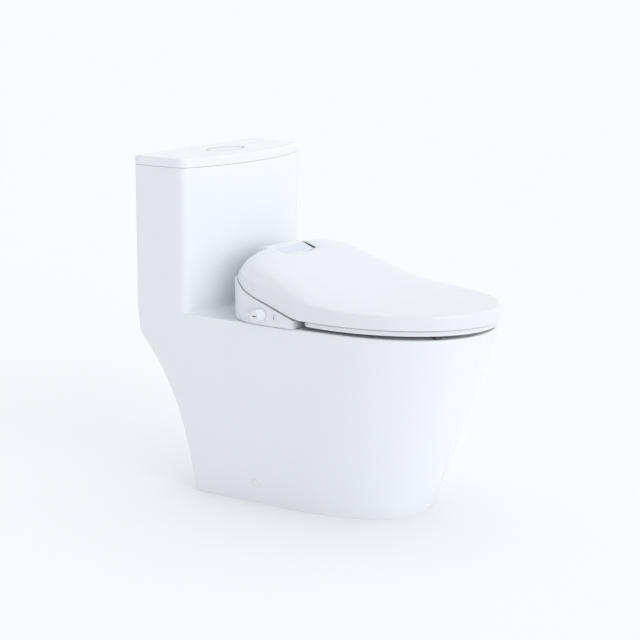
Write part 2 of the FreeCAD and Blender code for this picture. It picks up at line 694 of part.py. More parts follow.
def ledge_profile():
    return [(-130.0, 410.0), (-118.0, 411.5), (0.0, 452.0), (18.0, 459.0), (130.0, 459.0)]


def cover_profile():
    return [(-130.0, 415.0), (-112.0, 420.0), (-10.0, 452.0), (20.0, 456.0), (130.0, 456.0)]


def tower_profile():
    return [(-130.0, 408.0), (-113.0, 424.0), (-95.0, 447.0), (-60.0, 468.0), (-20.0, 492.0),
            (2.0, 506.0), (7.5, 514.5), (38.0, 526.0), (58.0, 529.5), (72.0, 526.0),
            (82.0, 512.0), (84.5, 500.0), (85.0, 440.0)]


def make_unit():
    bottom = float(sizes.unit_bottom)
    wall = float(sizes.unit_wall)
    shelf = bottom + 4.5
    wide = float(sizes.unit_half) + 10
    under_seam = prism_of_side(below_line(seam_profile(), 0.0, bottom), wide)
    outer = unit_prism(0.0, bottom, 520).common(under_seam)
    under_ledge = prism_of_side(below_line(ledge_profile(), 0.0, bottom), wide)
    well = unit_prism(float(sizes.ledge_inset), bottom, 520).cut(under_ledge)
    room = unit_prism(wall, shelf + 2.5, 520)
    room = room.common(prism_of_side(below_line(ledge_profile(), 2.5, bottom), wide))
    open_top = unit_prism(float(sizes.cover_inset) + 6.0, shelf + 12, 520)
    below = unit_prism(wall, bottom - 1, shelf)
    base = outer.cut([well, room, open_top, below])
    wand_room = Part.makeBox(27, 52, 14, Vector(-13.5, -float(sizes.unit_front) - 5, bottom - 1))
    base = base.cut(wand_room)
    item = free_form("unit_base_shell", base)
    knob_drill = rod("knob_drill", 9.4, 30.0,
                     (-sizes.unit_half - 5.0, -sizes.knob_place, sizes.knob_height), ALONG_X)
    inlet_drill = rod("inlet_drill", sizes.inlet_radius - 0.7, 30.0,
                      (-sizes.unit_half - 5.0, sizes.inlet_place, sizes.inlet_height), ALONG_X)
    release_slot = rod("release_slot", 6.9, 13.0, (-sizes.unit_half - 5.0, -69.5, 415.0), ALONG_X)
    gland_drill = rod("gland_drill", 6.1, 30.0, (60.0, 70.0, 414.0), ALONG_Y)
    bolt_rooms = [rod("bolt_room_%d" % (side > 0), 13.0, 12.0,
                      (side * sizes.seat_bolt_pitch / 2, sizes.seat_bolt_place, shelf - 2.0))
                  for side in (-1.0, 1.0)]
    keep("unit_base", cut("unit_base", item, knob_drill, inlet_drill, release_slot, gland_drill,
                          *bolt_rooms))
    make_unit_cover(wide)


def make_unit_cover(wide):
    bottom = float(sizes.unit_bottom)
    inset = float(sizes.cover_inset)
    skin = 2.5
    tower_half = float(sizes.tower_half)
    low_side = prism_of_side(below_line(cover_profile(), 0.0, bottom), wide)
    low_inner = prism_of_side(below_line(cover_profile(), skin, bottom), wide)
    tall_side = prism_of_side(below_line(tower_profile(), 0.0, bottom), tower_half)
    tall_inner = prism_of_side(below_line(tower_profile(), skin, bottom), tower_half - skin)
    above_ledge = prism_of_side(ledge_profile() + [(130.0, 600.0), (-130.0, 600.0)], wide)
    region = unit_prism(inset, bottom, 600)
    tall_inset = float(sizes.ledge_inset) + 0.3
    tall_region = unit_prism(tall_inset, bottom, 600)
    outer = region.common(low_side).fuse(tall_region.common(tall_side)).common(above_ledge)
    room = unit_prism(inset + skin, bottom, 600).common(low_inner)
    tall_room = unit_prism(tall_inset + skin, bottom, 600).common(tall_inner)
    cover = outer.cut([room, tall_room])
    y = float(sizes.hinge_place)
    z = float(sizes.hinge_height)
    pin_bore = Part.makeCylinder(float(sizes.pin_radius), 2 * tower_half + 4,
                                 Vector(-tower_half - 2, y, z), Vector(1, 0, 0))
    screen_start = 9.5
    screen = screen_prism(screen_start, 37.5, 0.3)
    cover = cover.cut([pin_bore, screen])
    keep("unit_cover", free_form("unit_cover_shell", cover))
    keep("status_panel", free_form("status_panel_lens", screen_prism(screen_start, 37.5, 0.0)))


def screen_prism(front, back, room):
    """The dark status panel, let into the tower's sloping top."""
    slope = (526.0 - 514.5) / (38.0 - 7.5)
    half = 50.0 + room
    front = front + 3.0 - room
    back = back - 1.5 + room

    def top(y):
        return 514.5 + slope * (y - 7.5)
    thick = 1.4 + room / 2
    return prism_of_side([(front, top(front)), (back, top(back)),
                          (back, top(back) - thick), (front, top(front) - thick)], half)


def make_unit_mounting():
    deck = sizes.deck_height
    base = box("base_slab", (-100.0, -40.0, deck), (100.0, 58.0, deck + 3.5))
    holes = [rod("base_hole_%d" % (side > 0), sizes.seat_bolt_radius + 0.4, 8.0,
                 (side * sizes.seat_bolt_pitch / 2, sizes.seat_bolt_place, deck - 2.0))
             for side in (-1.0, 1.0)]
    keep("seat_base_plate", cut("base_slab", base, *holes))
    bolts, nuts = [], []
    for side, tag in ((-1.0, "left"), (1.0, "right")):
        at = (side * sizes.seat_bolt_pitch / 2, sizes.seat_bolt_place, 0.0)
        bolts.append(turned("seat_bolt_" + tag, [
            (0.0, deck - 50.0), (sizes.seat_bolt_radius, deck - 50.0),
            (sizes.seat_bolt_radius, deck + 3.5), (10.0, deck + 3.5), (9.0, deck + 8.0),
            (0.0, deck + 8.0)], at))
        nuts.append(turned("seat_nut_" + tag, [
            (sizes.seat_bolt_radius + 0.05, deck - 34.0), (12.0, deck - 34.0),
            (14.0, deck - 18.0), (14.0, deck - 14.0), (sizes.seat_bolt_radius + 0.05, deck - 14.0)],
            at))
    keep("seat_mount_bolts", group("seat_mount_bolts", *bolts))
    keep("seat_mount_nuts", group("seat_mount_nuts", *nuts))


def make_unit_side_parts():
    """What shows on the unit's side: filter and drain knob, water inlet, release button."""
    face = -sizes.unit_half
    knob_at = (face, -sizes.knob_place, sizes.knob_height)
    knob = turned("knob_turning", [
        (0.0, -8.0), (8.52, -8.0), (8.52, 0.6), (sizes.knob_radius, 0.6),
        (sizes.knob_radius, 21.5), (sizes.knob_radius - 1.5, 23.0),
        (sizes.knob_radius - 3.0, 23.0), (sizes.knob_radius - 3.6, 22.2), (0.0, 22.2)],
        knob_at, AGAINST_X)
    grip = box("knob_slot", (face - 24.0, -sizes.knob_place - 4.5, sizes.knob_height - 1.0),
               (face - 20.8, -sizes.knob_place + 4.5, sizes.knob_height + 1.0))
    keep("knob_mark", box("knob_mark_bar",
                          (face - 22.4, -sizes.knob_place - 4.4, sizes.knob_height - 0.9),
                          (face - 20.8, -sizes.knob_place + 4.4, sizes.knob_height + 0.9)))
    keep("filter_drain_knob", cut("knob", knob, grip))
    keep("filter_socket", turned("filter_socket_tube", [
        (8.6, 3.2), (11.5, 3.2), (11.5, 48.0), (0.0, 48.0), (0.0, 45.0), (8.6, 45.0),
        (8.6, 9.0)], (face, -sizes.knob_place, sizes.knob_height), ALONG_X))
    keep("water_filter", turned("water_filter_mesh", [
        (5.2, 8.0), (7.4, 8.0), (7.4, 42.0), (0.0, 42.0), (0.0, 40.0), (5.2, 40.0)],
        (face, -sizes.knob_place, sizes.knob_height), ALONG_X))
    keep("water_inlet", turned("water_inlet_tail", [
        (0.0, -22.0), (sizes.inlet_radius - 0.8, -22.0), (sizes.inlet_radius - 0.8, 0.2),
        (sizes.inlet_radius, 0.2), (sizes.inlet_radius, 11.0), (sizes.inlet_radius - 1.0, 12.0),
        (5.5, 12.0), (5.5, 10.0), (0.0, 10.0)],
        (face, sizes.inlet_place, sizes.inlet_height), AGAINST_X))
    stem = box("release_stem", (face + 0.6, -72.5, 410.5), (face + 10.0, -66.5, 416.5))
    pad = rod("release_pad", 6.5, 2.0, (face - 0.4, -69.5, 415.0), ALONG_X)
    groove = box("release_groove", (face - 1.0, -71.0, 411.9), (face + 0.6, -69.0, 418.1))
    keep("release_button", cut("release_button", fuse("release_body", stem, pad), groove))
    keep("release_mark", box("release_mark_bar", (face - 0.3, -70.9, 412.0),
                             (face + 0.6, -69.1, 418.0)))
    keep("power_gland", turned("power_gland_sleeve", [
        (2.6, 0.0), (8.5, 0.0), (8.5, 2.0), (6.0, 2.0), (6.0, 13.0), (4.6, 15.0), (2.6, 15.0)],
        (60.0, sizes.unit_back - 5.1, 414.0), ALONG_Y))


def make_unit_inside():
    """Heater, valve, board, dryer and deodoriser, standing on the unit's floor."""
    shelf = sizes.unit_bottom + 7.0
    heater = box("heater_tank", (88.0, 0.0, shelf), (154.0, 55.0, shelf + 40.0))
    pipe_stub = rod("heater_stub", 4.0, 14.0, (76.0, 30.0, shelf + 20.0), ALONG_X)
    keep("water_heater", fuse("water_heater", heater, pipe_stub))
    block = box("valve_block", (-172.0, -8.0, shelf), (-138.0, 24.0, shelf + 24.0))
    coil = rod("valve_coil", 10.0, 18.0, (-155.0, 8.0, shelf + 23.0))
    keep("inlet_valve", fuse("inlet_valve", block, coil))
    keep("control_board", box("board", (64.0, -104.0, shelf + 4.0), (166.0, -58.0, shelf + 5.6)))
    feet = [rod("board_foot_%d" % number, 3.0, 4.0, (x, y, shelf))
            for number, (x, y) in enumerate(((70.0, -98.0), (160.0, -98.0), (70.0, -64.0),
                                             (160.0, -64.0)))]
    keep("board_posts", group("board_posts", *feet))
    case = rod("dryer_drum", 27.0, 30.0, (-98.0, 26.0, shelf))
    snout = box("dryer_snout", (-94.0, -48.0, shelf), (-71.5, 26.0, shelf + 20.0))
    bore = rod("dryer_bore", 24.5, 25.0, (-98.0, 26.0, shelf + 2.5))
    eye = rod("dryer_eye", 13.0, 20.0, (-98.0, 26.0, shelf + 20.0))
    throat = box("dryer_throat", (-91.5, -50.0, shelf + 2.5), (-74.0, 20.0, shelf + 17.5))
    keep("dryer_fan_case", cut("dryer_case", fuse("dryer_case", case, snout), bore, eye, throat))
    keep("dryer_duct", cut("dryer_duct",
                           box("duct_skin", (-94.0, -107.0, shelf), (-71.5, -48.0, shelf + 8.0)),
                           box("duct_hole", (-91.5, -110.0, shelf + 1.6),
                               (-74.0, -47.0, shelf + 6.4))))
    hub = rod("impeller_hub", 7.0, 18.0, (-98.0, 26.0, shelf + 4.0))
    disc = rod("impeller_disc", 22.0, 2.0, (-98.0, 26.0, shelf + 4.0))
    blades = []
    for number in range(12):
        turn = Rotation(Vector(0, 0, 1), 30.0 * number)
        blade = doc.addObject("Part::Box", "impeller_blade_%d" % number)
        blade.Length, blade.Width, blade.Height = 8.0, 1.2, 18.0
        offset = turn.multVec(Vector(14.0, -0.6, 0.0))
        place(blade, (-98.0 + offset.x, 26.0 + offset.y, shelf + 4.0), turn)
        blades.append(blade)
    keep("dryer_impeller", fuse("dryer_impeller", hub, disc, *blades))
    keep("deodoriser_cartridge", box("cartridge", (118.0, -50.0, shelf),
                                     (166.0, -12.0, shelf + 16.0)))


# ---------------------------------------------------------------- washing wand
def wand_frame():
    """The wand's own axes: where its tip rests, forward and down along it, and up across it."""
    slope = math.radians(float(sizes.wand_slope))
    ahead = Vector(0, -math.cos(slope), -math.sin(slope))
    across = Vector(0, -math.sin(slope), math.cos(slope))
    clear = float(sizes.wand_radius) + float(sizes.housing_gap) + float(sizes.housing_wall)
    edge_y = -float(sizes.bowl_back)
    edge_z = float(sizes.deck_height) + 0.6 + clear / math.cos(slope)
    tip_y = -104.0
    tip = Vector(0, tip_y, edge_z - (edge_y - tip_y) * math.tan(slope))
    return tip, ahead, across


def along_wand(back, side, up):
    """A point from the tip: so far back along the wand, to the side and up across it."""
    tip, ahead, across = wand_frame()
    return tip - ahead * back + Vector(side, 0, 0) + across * up


def wand_box(back, length, side, wide, up, high):
    """A block lying square to the wand."""
    ahead, across = wand_frame()[1:]
    solid = Part.makeBox(length, wide, high)
    turn = Rotation(ahead * -1, Vector(1, 0, 0), across, "ZXY")
    solid.Placement = Placement(along_wand(back, side + wide, up), turn)
    return solid


def pinion_back():
    return 55.0


def tooth_pitch():
    return 2 * math.pi * float(sizes.pinion_radius) / float(sizes.pinion_teeth)


def rack_solid():
    """A toothed strip along the wand's top, as long as the travel and the mesh need."""
    radius = float(sizes.wand_radius)
    pitch = tooth_pitch()
    start = pinion_back() - 3 * pitch
    count = int(float(sizes.wand_travel) / pitch) + 6
    spine = wand_box(start, count * pitch, -3.0, 6.0, radius - 0.6, 1.5)
    teeth = []
    for number in range(count):
        back = start + number * pitch + pitch / 2 - pitch * 0.18
        teeth.append(wand_box(back, pitch * 0.36, -3.0, 6.0, radius + 0.8, 1.3))
    return spine.fuse(teeth)


def pinion_place():
    """The pinion's pitch circle rolls on a line 0.6 mm above the root of the rack's teeth."""
    return along_wand(pinion_back(), 0.0,
                      float(sizes.wand_radius) + 1.5 + float(sizes.pinion_radius))


def pinion_solid():
    radius = float(sizes.pinion_radius)
    teeth_count = int(float(sizes.pinion_teeth))
    centre = pinion_place()
    axis = Vector(1, 0, 0)
    wheel = Part.makeCylinder(radius - 0.9, 6, centre + Vector(-3, 0, 0), axis)
    across = wand_frame()[2]
    teeth = []
    for number in range(teeth_count):
        tooth = Part.makeBox(6, tooth_pitch() * 0.3, 1.5,
                             Vector(-3, -tooth_pitch() * 0.15, radius - 1.1))
        tooth.rotate(Vector(), axis, number * 360 / teeth_count)
        down = Rotation(Vector(0, 0, 1), across * -1)
        tooth.Placement = Placement(centre, down).multiply(tooth.Placement)
        teeth.append(tooth)
    bore = Part.makeCylinder(2.0, 10, centre + Vector(-5, 0, 0), axis)
    return wheel.fuse(teeth).cut(bore)


def make_wand():
    radius = float(sizes.wand_radius)
    length = float(sizes.wand_length)
    tip, ahead, across = wand_frame()
    nose = 16.0
    shaft = Part.makeCylinder(radius, length - nose, along_wand(nose, 0, 0), ahead * -1)
    rack_seat = wand_box(pinion_back() - 30, length, -3.0, 6.0, radius - 0.6, 4.0)
    keep("wash_wand", free_form("wash_wand_shape", shaft.cut(rack_seat)))
    head = Part.makeCylinder(radius, nose, tip, ahead * -1)
    front_edges = [edge for edge in head.Edges
                   if edge.BoundBox.Center.distanceToPoint(tip) < 1.0]
    head = head.makeFillet(radius * 0.55, front_edges)
    jets = [Part.makeCylinder(0.9, 6, along_wand(6.0, offset, radius - 4), across)
            for offset in (-1.6, 1.6)]
    flat = wand_box(3.0, 7.0, -4.0, 8.0, radius - 0.7, 3.0)
    keep("wand_tip", free_form("wand_tip_shape", head.cut([flat] + jets)))
    keep("wand_rack", free_form("wand_rack_shape", rack_solid()))
    keep("wand_pinion", free_form("wand_pinion_shape", pinion_solid()))

    gap = float(sizes.housing_gap)
    outer = radius + gap + float(sizes.housing_wall)
    start = -2.0
    tube = Part.makeCylinder(outer, length + 2, along_wand(start, 0, 0), ahead * -1)
    bore = Part.makeCylinder(radius + gap, length + 30, along_wand(start - 10, 0, 0), ahead * -1)
    slot = wand_box(start - 5, length + 20, -4.2, 8.4, radius - 3.4, 20.0)
    cheeks = [wand_box(pinion_back() - 7, 14.0, side, 3.2, 0.0, 21.0) for side in (-7.7, 4.5)]
    shaft_bore = Part.makeCylinder(2.08, 40, pinion_place() + Vector(-20, 0, 0), Vector(1, 0, 0))
    shelf = float(sizes.unit_bottom) + 7.0
    post_top = along_wand(length - 22, 0, 0)
    post = Part.makeBox(12, 14, post_top.z - shelf, Vector(-6, post_top.y - 7, shelf))
    keep("wand_housing", free_form("wand_housing_shape",
                                   tube.fuse(cheeks + [post]).cut([bore, slot, shaft_bore])))
    centre = pinion_place()
    can = Part.makeCylinder(10.0, 26, centre + Vector(8, 0, 0), Vector(1, 0, 0))
    shaft = Part.makeCylinder(2.0, 17, centre + Vector(-9, 0, 0), Vector(1, 0, 0))
    keep("wand_motor", free_form("wand_motor_can", can))
    keep("motor_shaft", free_form("motor_shaft_rod", shaft))
    make_wand_cap()


def make_wand_cap():
    """A disc on the wand's tip that closes the housing's mouth when the wand is in."""
    tip, ahead, _ = wand_frame()
    disc = Part.makeCylinder(float(sizes.wand_radius) + float(sizes.housing_gap)
                             + float(sizes.housing_wall), 1.8, along_wand(-2.4, 0, 0), ahead)
    stem = Part.makeCylinder(3.0, 2.6, tip, ahead)
    keep("wand_cap", free_form("wand_cap_disc", disc.fuse(stem)))


# ---------------------------------------------------------------- hinge, seat and lid
def make_hinge():
    y = sizes.hinge_place
    z = sizes.hinge_height
    reach = sizes.arm_inner + sizes.arm_width + 2.5
    pins = [rod("hinge_pin_left", sizes.pin_radius, reach - 40.0, (-reach, y, z), ALONG_X),
            rod("hinge_pin_right", sizes.pin_radius, reach - 40.0, (40.0, y, z), ALONG_X)]
    keep("hinge_pins", group("hinge_pins", *pins))
    keep("lid_damper", rod("lid_damper_can", 10.0, 36.0, (-40.0, y, z), ALONG_X))
    keep("seat_damper", rod("seat_damper_can", 10.0, 36.0, (4.0, y, z), ALONG_X))


def oval_front_outline(inset, back, height):
    """The seat's and the lid's level outline: half an oval in front, sides drawn in to the back."""
    half = float(sizes.cover_half) - inset
    front = float(sizes.cover_front) - inset
    widest = float(sizes.cover_widest)
    full_back = float(sizes.cover_back)
    back_half = float(sizes.unit_half) - 8.0 - inset
    share = (widest + back) / (widest + full_back)
    end_half = mixed(half, back_half, min(1.0, share * 1.25))
    oval = Part.Ellipse(Vector(0, -front, height), Vector(half, -widest, height),
                        Vector(0, -widest, height))
    curve = Part.ArcOfEllipse(oval, -math.pi / 2, math.pi / 2).toShape()
    left = Vector(-half, -widest, height)
    right = Vector(half, -widest, height)
    return curve, left, right, end_half


def seat_outline(inset, back, height):
    curve, left, right, end_half = oval_front_outline(inset, back, height)
    back_left = Vector(-end_half, back, height)
    back_right = Vector(end_half, back, height)
    turn = 26.0
    short = turn * (1 - math.sqrt(0.5))
    edges = [curve, Part.makeLine(right, back_right - Vector(0, turn, 0)),
             Part.makeLine(back_right - Vector(turn, 0, 0), back_left + Vector(turn, 0, 0)),
             Part.makeLine(back_left - Vector(0, turn, 0), left)]
    for corner, side in ((back_right, -1), (back_left, 1)):
        edges.append(Part.Arc(corner - Vector(0, turn, 0),
                              corner + Vector(side * short, -short, 0),
                              corner + Vector(side * turn, 0, 0)).toShape())
    return Part.Wire(Part.sortEdges(edges)[0])


def seat_hole(extra, low, high):
    half = float(sizes.seat_hole_half) + extra
    front = -float(sizes.seat_hole_front) - extra
    back = -float(sizes.seat_hole_back) + extra
    middle = Vector(0, (front + back) / 2, low)
    long = (back - front) / 2
    oval = Part.Ellipse(Vector(0, back, low), Vector(half, middle.y, low), middle)
    return Part.Face(Part.Wire(oval.toShape())).extrude(Vector(0, 0, high - low))


def seat_slab(inset, low, high):
    wire = seat_outline(float(sizes.seat_inset) + inset, -float(sizes.seat_back) - inset, low)
    return Part.Face(wire).extrude(Vector(0, 0, high - low))


def seat_crown_solid(inset, low, high):
    """The ring's upper part, drawn in towards the top."""
    start = seat_outline(float(sizes.seat_inset) + inset, -float(sizes.seat_back) - inset, low)
    end = seat_outline(float(sizes.seat_inset) + inset + 14, -float(sizes.seat_back) - inset - 5,
                       high)
    return Part.makeLoft([start, end], True, True)


def make_seat():
    bottom = float(sizes.seat_bottom)
    edge = float(sizes.seat_edge_top)
    crown = float(sizes.seat_crown)
    split = bottom + 3.5
    wall = float(sizes.seat_wall)
    tray = wall + 0.05
    lower = seat_slab(tray, bottom, split).cut(seat_hole(tray, bottom - 1, split + 1))
    keep("seat_bottom_shell", free_form("seat_lower", lower))
    upper = seat_slab(0.0, bottom, edge).fuse(seat_crown_solid(0.0, edge, crown))
    upper = upper.cut(seat_hole(0.0, bottom - 1, crown + 1))
    room = seat_slab(wall, bottom - 1, edge - 1).fuse(seat_crown_solid(wall, edge - 1.01,
                                                                     crown - wall))
    room = room.cut(seat_hole(wall, bottom - 2, crown + 1))
    upper = upper.cut(room)
    arms = [arm_solid(side) for side in (-1, 1)]
    keep("seat_top_shell", free_form("seat_upper", upper.fuse(arms)))
    film_low = crown - wall - 1.0
    film = seat_slab(24.0, film_low, film_low + 0.6).cut(seat_hole(8.0, film_low - 1, crown))
    keep("seat_heater", free_form("seat_heater_film", film))
    deck = float(sizes.deck_height)
    pads = []
    for x, y in ((-150, -200), (150, -200), (-98, -395), (98, -395)):
        pads.append(Part.makeCylinder(9.0, bottom - deck, Vector(x, y, deck)))
    keep("seat_bumpers", free_form("seat_bumper_pads", Part.makeCompound(pads)))


def arm_solid(side):
    """A slim arm from the ring's back up to the hinge, with a bearing eye."""
    y = float(sizes.hinge_place)
    z = float(sizes.hinge_height)
    near = float(sizes.arm_inner)
    width = float(sizes.arm_width)
    start = near if side > 0 else -near - width
    root = -float(sizes.seat_back) - 14
    outline = [(root, 412), (root + 12, 412), (-96, 430), (y - 4, z - 8.5), (y + 4, z + 8.5),
               (-104, 441), (root + 4, 420.5), (root, 420.5)]
    wire = straight_wire([Vector(start, across, up) for across, up in outline])
    bar = Part.Face(wire).extrude(Vector(width, 0, 0))
    eye = Part.makeCylinder(9.5, width, Vector(start, y, z), Vector(1, 0, 0))
    bore = Part.makeCylinder(float(sizes.pin_radius) + float(sizes.pin_gap), width + 2,
                             Vector(start - 1, y, z), Vector(1, 0, 0))
    return bar.fuse(eye).cut(bore)


def read_line(line, y):
    for (y0, z0), (y1, z1) in zip(line, line[1:]):
        if y <= y1:
            return mixed(z0, z1, (y - y0) / (y1 - y0))
    return line[-1][1]


def cover_crest(y):
    """Height of the lid's top along its middle."""
    return read_line([
        (-475, 444.5), (-420, 446), (-338, 446), (-300, 447.5), (-261, 451), (-221, 459),
        (-182, 470), (-141, 483), (-100, 497), (-70, 507), (-40, 516), (-15, 522), (5, 525.5),
        (25, 528), (42, 528.5), (56, 522.5), (69, 513), (79, 503), (84, 497)], y)


def cover_power(y):
    """How square the lid's section is: a low crown in front, flat with full shoulders behind."""
    return read_line([(-475, 2.0), (-330, 2.0), (-215, 3.6), (-140, 6.0), (-60, 7.5),
                      (7.5, 7.5), (45, 4.4), (84, 2.1)], y)


def cover_dish(x, y):
    """Depth of the shallow dish in front of the status panel."""
    side = 1 - smooth_step((abs(x) - 42.0) / 40.0)
    return 9.5 * side * math.exp(-((y - 6.0) / 20.0) ** 2)


def cover_arch(y, lower):
    """A section across the lid at y."""
    half = 200.0
    foot = mixed(444.5, 438.0, smooth_step((y + 215.0) / 195.0))
    power = cover_power(y)
    crest = cover_crest(y)
    points = []
    for step in range(-12, 13):
        x = half * math.sin(math.radians(7.5 * step))
        rise = max(0.0, 1 - abs(x / half) ** power)
        points.append(Vector(x, y, foot + (crest - foot) * rise - cover_dish(x, y) - lower))
    curve = Part.BSplineCurve()
    curve.interpolate(Points=points)
    floor = 395.0
    left, right = points[0], points[-1]
    wide_left = Vector(left.x, y, floor)
    wide_right = Vector(right.x, y, floor)
    return Part.Wire([curve.toShape(), Part.makeLine(right, wide_right),
                      Part.makeLine(wide_right, wide_left), Part.makeLine(wide_left, left)])


def cover_crown(lower, back):
    stations = [-475, -420, -360, -300, -250, -200, -150, -100, -68, -40, -15, 5, 25, 42, 56, 69]
    wires = [cover_arch(y, lower) for y in stations if y < back - 2]
    wires.append(cover_arch(back, lower))
    return Part.makeLoft(wires, True, False)


def cover_plan(inset, low, high):
    """The lid's level outline carried straight up: oval front, large round corners at the back."""
    curve, left, right, _ = oval_front_outline(inset, 0.0, low)
    back_half = float(sizes.unit_half) - 8.0 - inset
    back = float(sizes.cover_back) - inset
    radius = float(sizes.cover_back_round) - inset
    turn_y = back - radius
    turn_x = back_half - radius
    diagonal = radius * math.sqrt(0.5)
    edges = [curve,
             Part.makeLine(right, Vector(back_half, turn_y, low)),
             Part.Arc(Vector(back_half, turn_y, low),
                      Vector(turn_x + diagonal, turn_y + diagonal, low),
                      Vector(turn_x, back, low)).toShape(),
             Part.makeLine(Vector(turn_x, back, low), Vector(-turn_x, back, low)),
             Part.Arc(Vector(-turn_x, back, low),
                      Vector(-turn_x - diagonal, turn_y + diagonal, low),
                      Vector(-back_half, turn_y, low)).toShape(),
             Part.makeLine(Vector(-back_half, turn_y, low), left)]
    wire = Part.Wire(Part.sortEdges(edges)[0])
    return Part.Face(wire).extrude(Vector(0, 0, high - low))


def make_lid():
    wall = float(sizes.cover_wall)
    wide = float(sizes.cover_half) + 10
    back = float(sizes.cover_back)
    outer = cover_plan(0.0, 396, 560).common(cover_crown(0.0, back + 2))
    inner = cover_plan(wall, 390, 560).common(cover_crown(wall, back + 2))
    edge_z = float(sizes.seat_edge_top) + float(sizes.cover_gap)
    gap = float(sizes.seam_gap)
    seam = [(y, z + gap) for y, z in seam_profile()]
    under = [(-480.0, edge_z), (-118.0, edge_z)] + seam[2:] + [(130.0, 380.0), (-480.0, 380.0)]
    window_half = float(sizes.tower_half) + 1.5
    window_front = 5.6
    window = Part.makeBox(2 * window_half, 120, 200, Vector(-window_half, window_front, 400))
    arm_far = float(sizes.arm_inner) + float(sizes.arm_width) + 1.5
    arm_notch = Part.makeBox(2 * arm_far, 40, 36, Vector(-arm_far, back - 16, 464))
    shell = outer.cut([inner, prism_of_side(under, wide), window, arm_notch])
    y = float(sizes.hinge_place)
    z = float(sizes.hinge_height)
    ears = []
    for side in (-1, 1):
        start = window_half + 0.4 if side > 0 else -window_half - 0.4 - 7.0
        wire = straight_wire([Vector(start, a, b) for a, b in
                              ((y - 9, z), (y - 24, z + 40), (y + 12, z + 40), (y + 9, z))])
        web = Part.Face(wire).extrude(Vector(7.0, 0, 0)).common(outer)
        eye = Part.makeCylinder(9.0, 7.0, Vector(start, y, z), Vector(1, 0, 0))
        bore = Part.makeCylinder(float(sizes.pin_radius) + float(sizes.pin_gap), 12,
                                 Vector(start - 2, y, z), Vector(1, 0, 0))
        ears.append(web.fuse(eye).cut(bore))
    keep("lid_shell", free_form("lid_shell_shape", shell.fuse(ears)))
    pads = []
    low = float(sizes.seat_crown) - 3.0
    for x, y in ((-165, -215), (165, -215), (-92, -413), (92, -413)):
        top = Part.makeCylinder(6.0, 60, Vector(x, y, low + 4))
        pads.append(top.common(inner))
    keep("lid_bumpers", free_form("lid_bumper_pads", Part.makeCompound(pads)))


# ---------------------------------------------------------------- build, test and write
def check_and_write():
    doc.recompute()
    for item in doc.Objects:
        if "Invalid" in item.State or "Error" in item.State:
            raise RuntimeError("%s failed: %s" % (item.Label, item.State))
    os.makedirs("parts", exist_ok=True)
    for label, item in NODES.items():
        shape = item.Shape
        if shape.isNull() or not shape.isValid() or not shape.Solids:
            raise RuntimeError("%s has no valid solid" % label)
        print("%-22s solids %2d volume %12.1f" % (label, len(shape.Solids), shape.Volume))
    for label, item in NODES.items():
        item.Shape.exportStep(os.path.join("parts", label + ".step"))


make_china()
make_floor_fixings()
make_tank_lid()
make_flush_valve()
make_fill_valve()
make_unit()
make_unit_mounting()
make_unit_side_parts()
make_unit_inside()
make_wand()
make_hinge()
make_seat()
make_lid()
check_and_write()
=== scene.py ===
"""Looks of a one-piece toilet with a heated washing seat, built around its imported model."""

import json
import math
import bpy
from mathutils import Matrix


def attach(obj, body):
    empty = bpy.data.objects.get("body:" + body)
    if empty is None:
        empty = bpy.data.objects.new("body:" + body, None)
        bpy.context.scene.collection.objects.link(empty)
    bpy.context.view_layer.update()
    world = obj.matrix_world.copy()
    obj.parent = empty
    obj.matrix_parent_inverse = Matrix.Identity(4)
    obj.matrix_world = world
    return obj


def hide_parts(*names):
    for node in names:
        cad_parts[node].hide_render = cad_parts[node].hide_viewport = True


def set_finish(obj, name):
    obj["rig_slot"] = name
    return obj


bl_info = {
    "name": "Smart Toilet Looks",
    "version": (1, 0, 0),
    "blender": (4, 5, 0),
    "location": "3D View > Sidebar > Toilet",
    "description": "Glazed china, moulded lid, seat and washing unit of a one-piece toilet",
    "category": "Object",
}

import bmesh
import bpy
import numpy as np
from mathutils import Vector
from mathutils.geometry import delaunay_2d_cdt

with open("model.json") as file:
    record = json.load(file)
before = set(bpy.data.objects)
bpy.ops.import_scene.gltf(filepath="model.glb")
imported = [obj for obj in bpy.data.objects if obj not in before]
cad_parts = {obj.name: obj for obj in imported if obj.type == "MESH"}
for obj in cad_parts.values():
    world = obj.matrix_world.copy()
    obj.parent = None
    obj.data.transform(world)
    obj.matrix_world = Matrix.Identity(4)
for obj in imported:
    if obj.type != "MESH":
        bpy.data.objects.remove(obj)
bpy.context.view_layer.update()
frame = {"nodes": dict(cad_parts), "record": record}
NODES = frame["nodes"]
OWNER = {node: body for body, members in frame["record"]["behaviour"]["bodies"].items()
         for node in members}
SLOT_OF = {part["node"]: part["material_slot"] for part in frame["record"]["subparts"]}
MM = 0.001

# china, in millimetres
DECK, SEAM, OVERHANG = 396.0, 701.0, 341.0
TANK_HALF, TANK_BACK, TANK_SIDE_FRONT, TANK_BOW = 203.0, 290.0, 157.0, 41.5
TANK_CORNER, BACK_CORNER, TANK_WALL, TANK_FLOOR = 20.0, 10.0, 9.0, 372.0
FOOT = {"half": 148.0, "front": 308.0, "widest": 25.0, "back": 176.5, "back_half": 154.0,
        "power": 2.34}
RIM = {"half": 187.0, "front": 447.0, "widest": 176.0, "power": 2.26}
BELLY, SPLIT_LOW, SPLIT_GAIN = 24.0, 20.0, 99.8
BOWL_HALF, BOWL_LONG, BOWL_MIDDLE, BOWL_LIP, TRAP = 125.0, 156.0, -246.0, 6.0, 27.0
SKIRT_WALL, SKIRT_TOP, RECESS, DRAIN, DRAIN_WALL = 12.0, 390.0, 72.0, 30.0, 11.0
RIM_FADE, TANK_FADE, MOUTH_ROUND, BAND = 60.0, 70.0, 1.5, 1.0
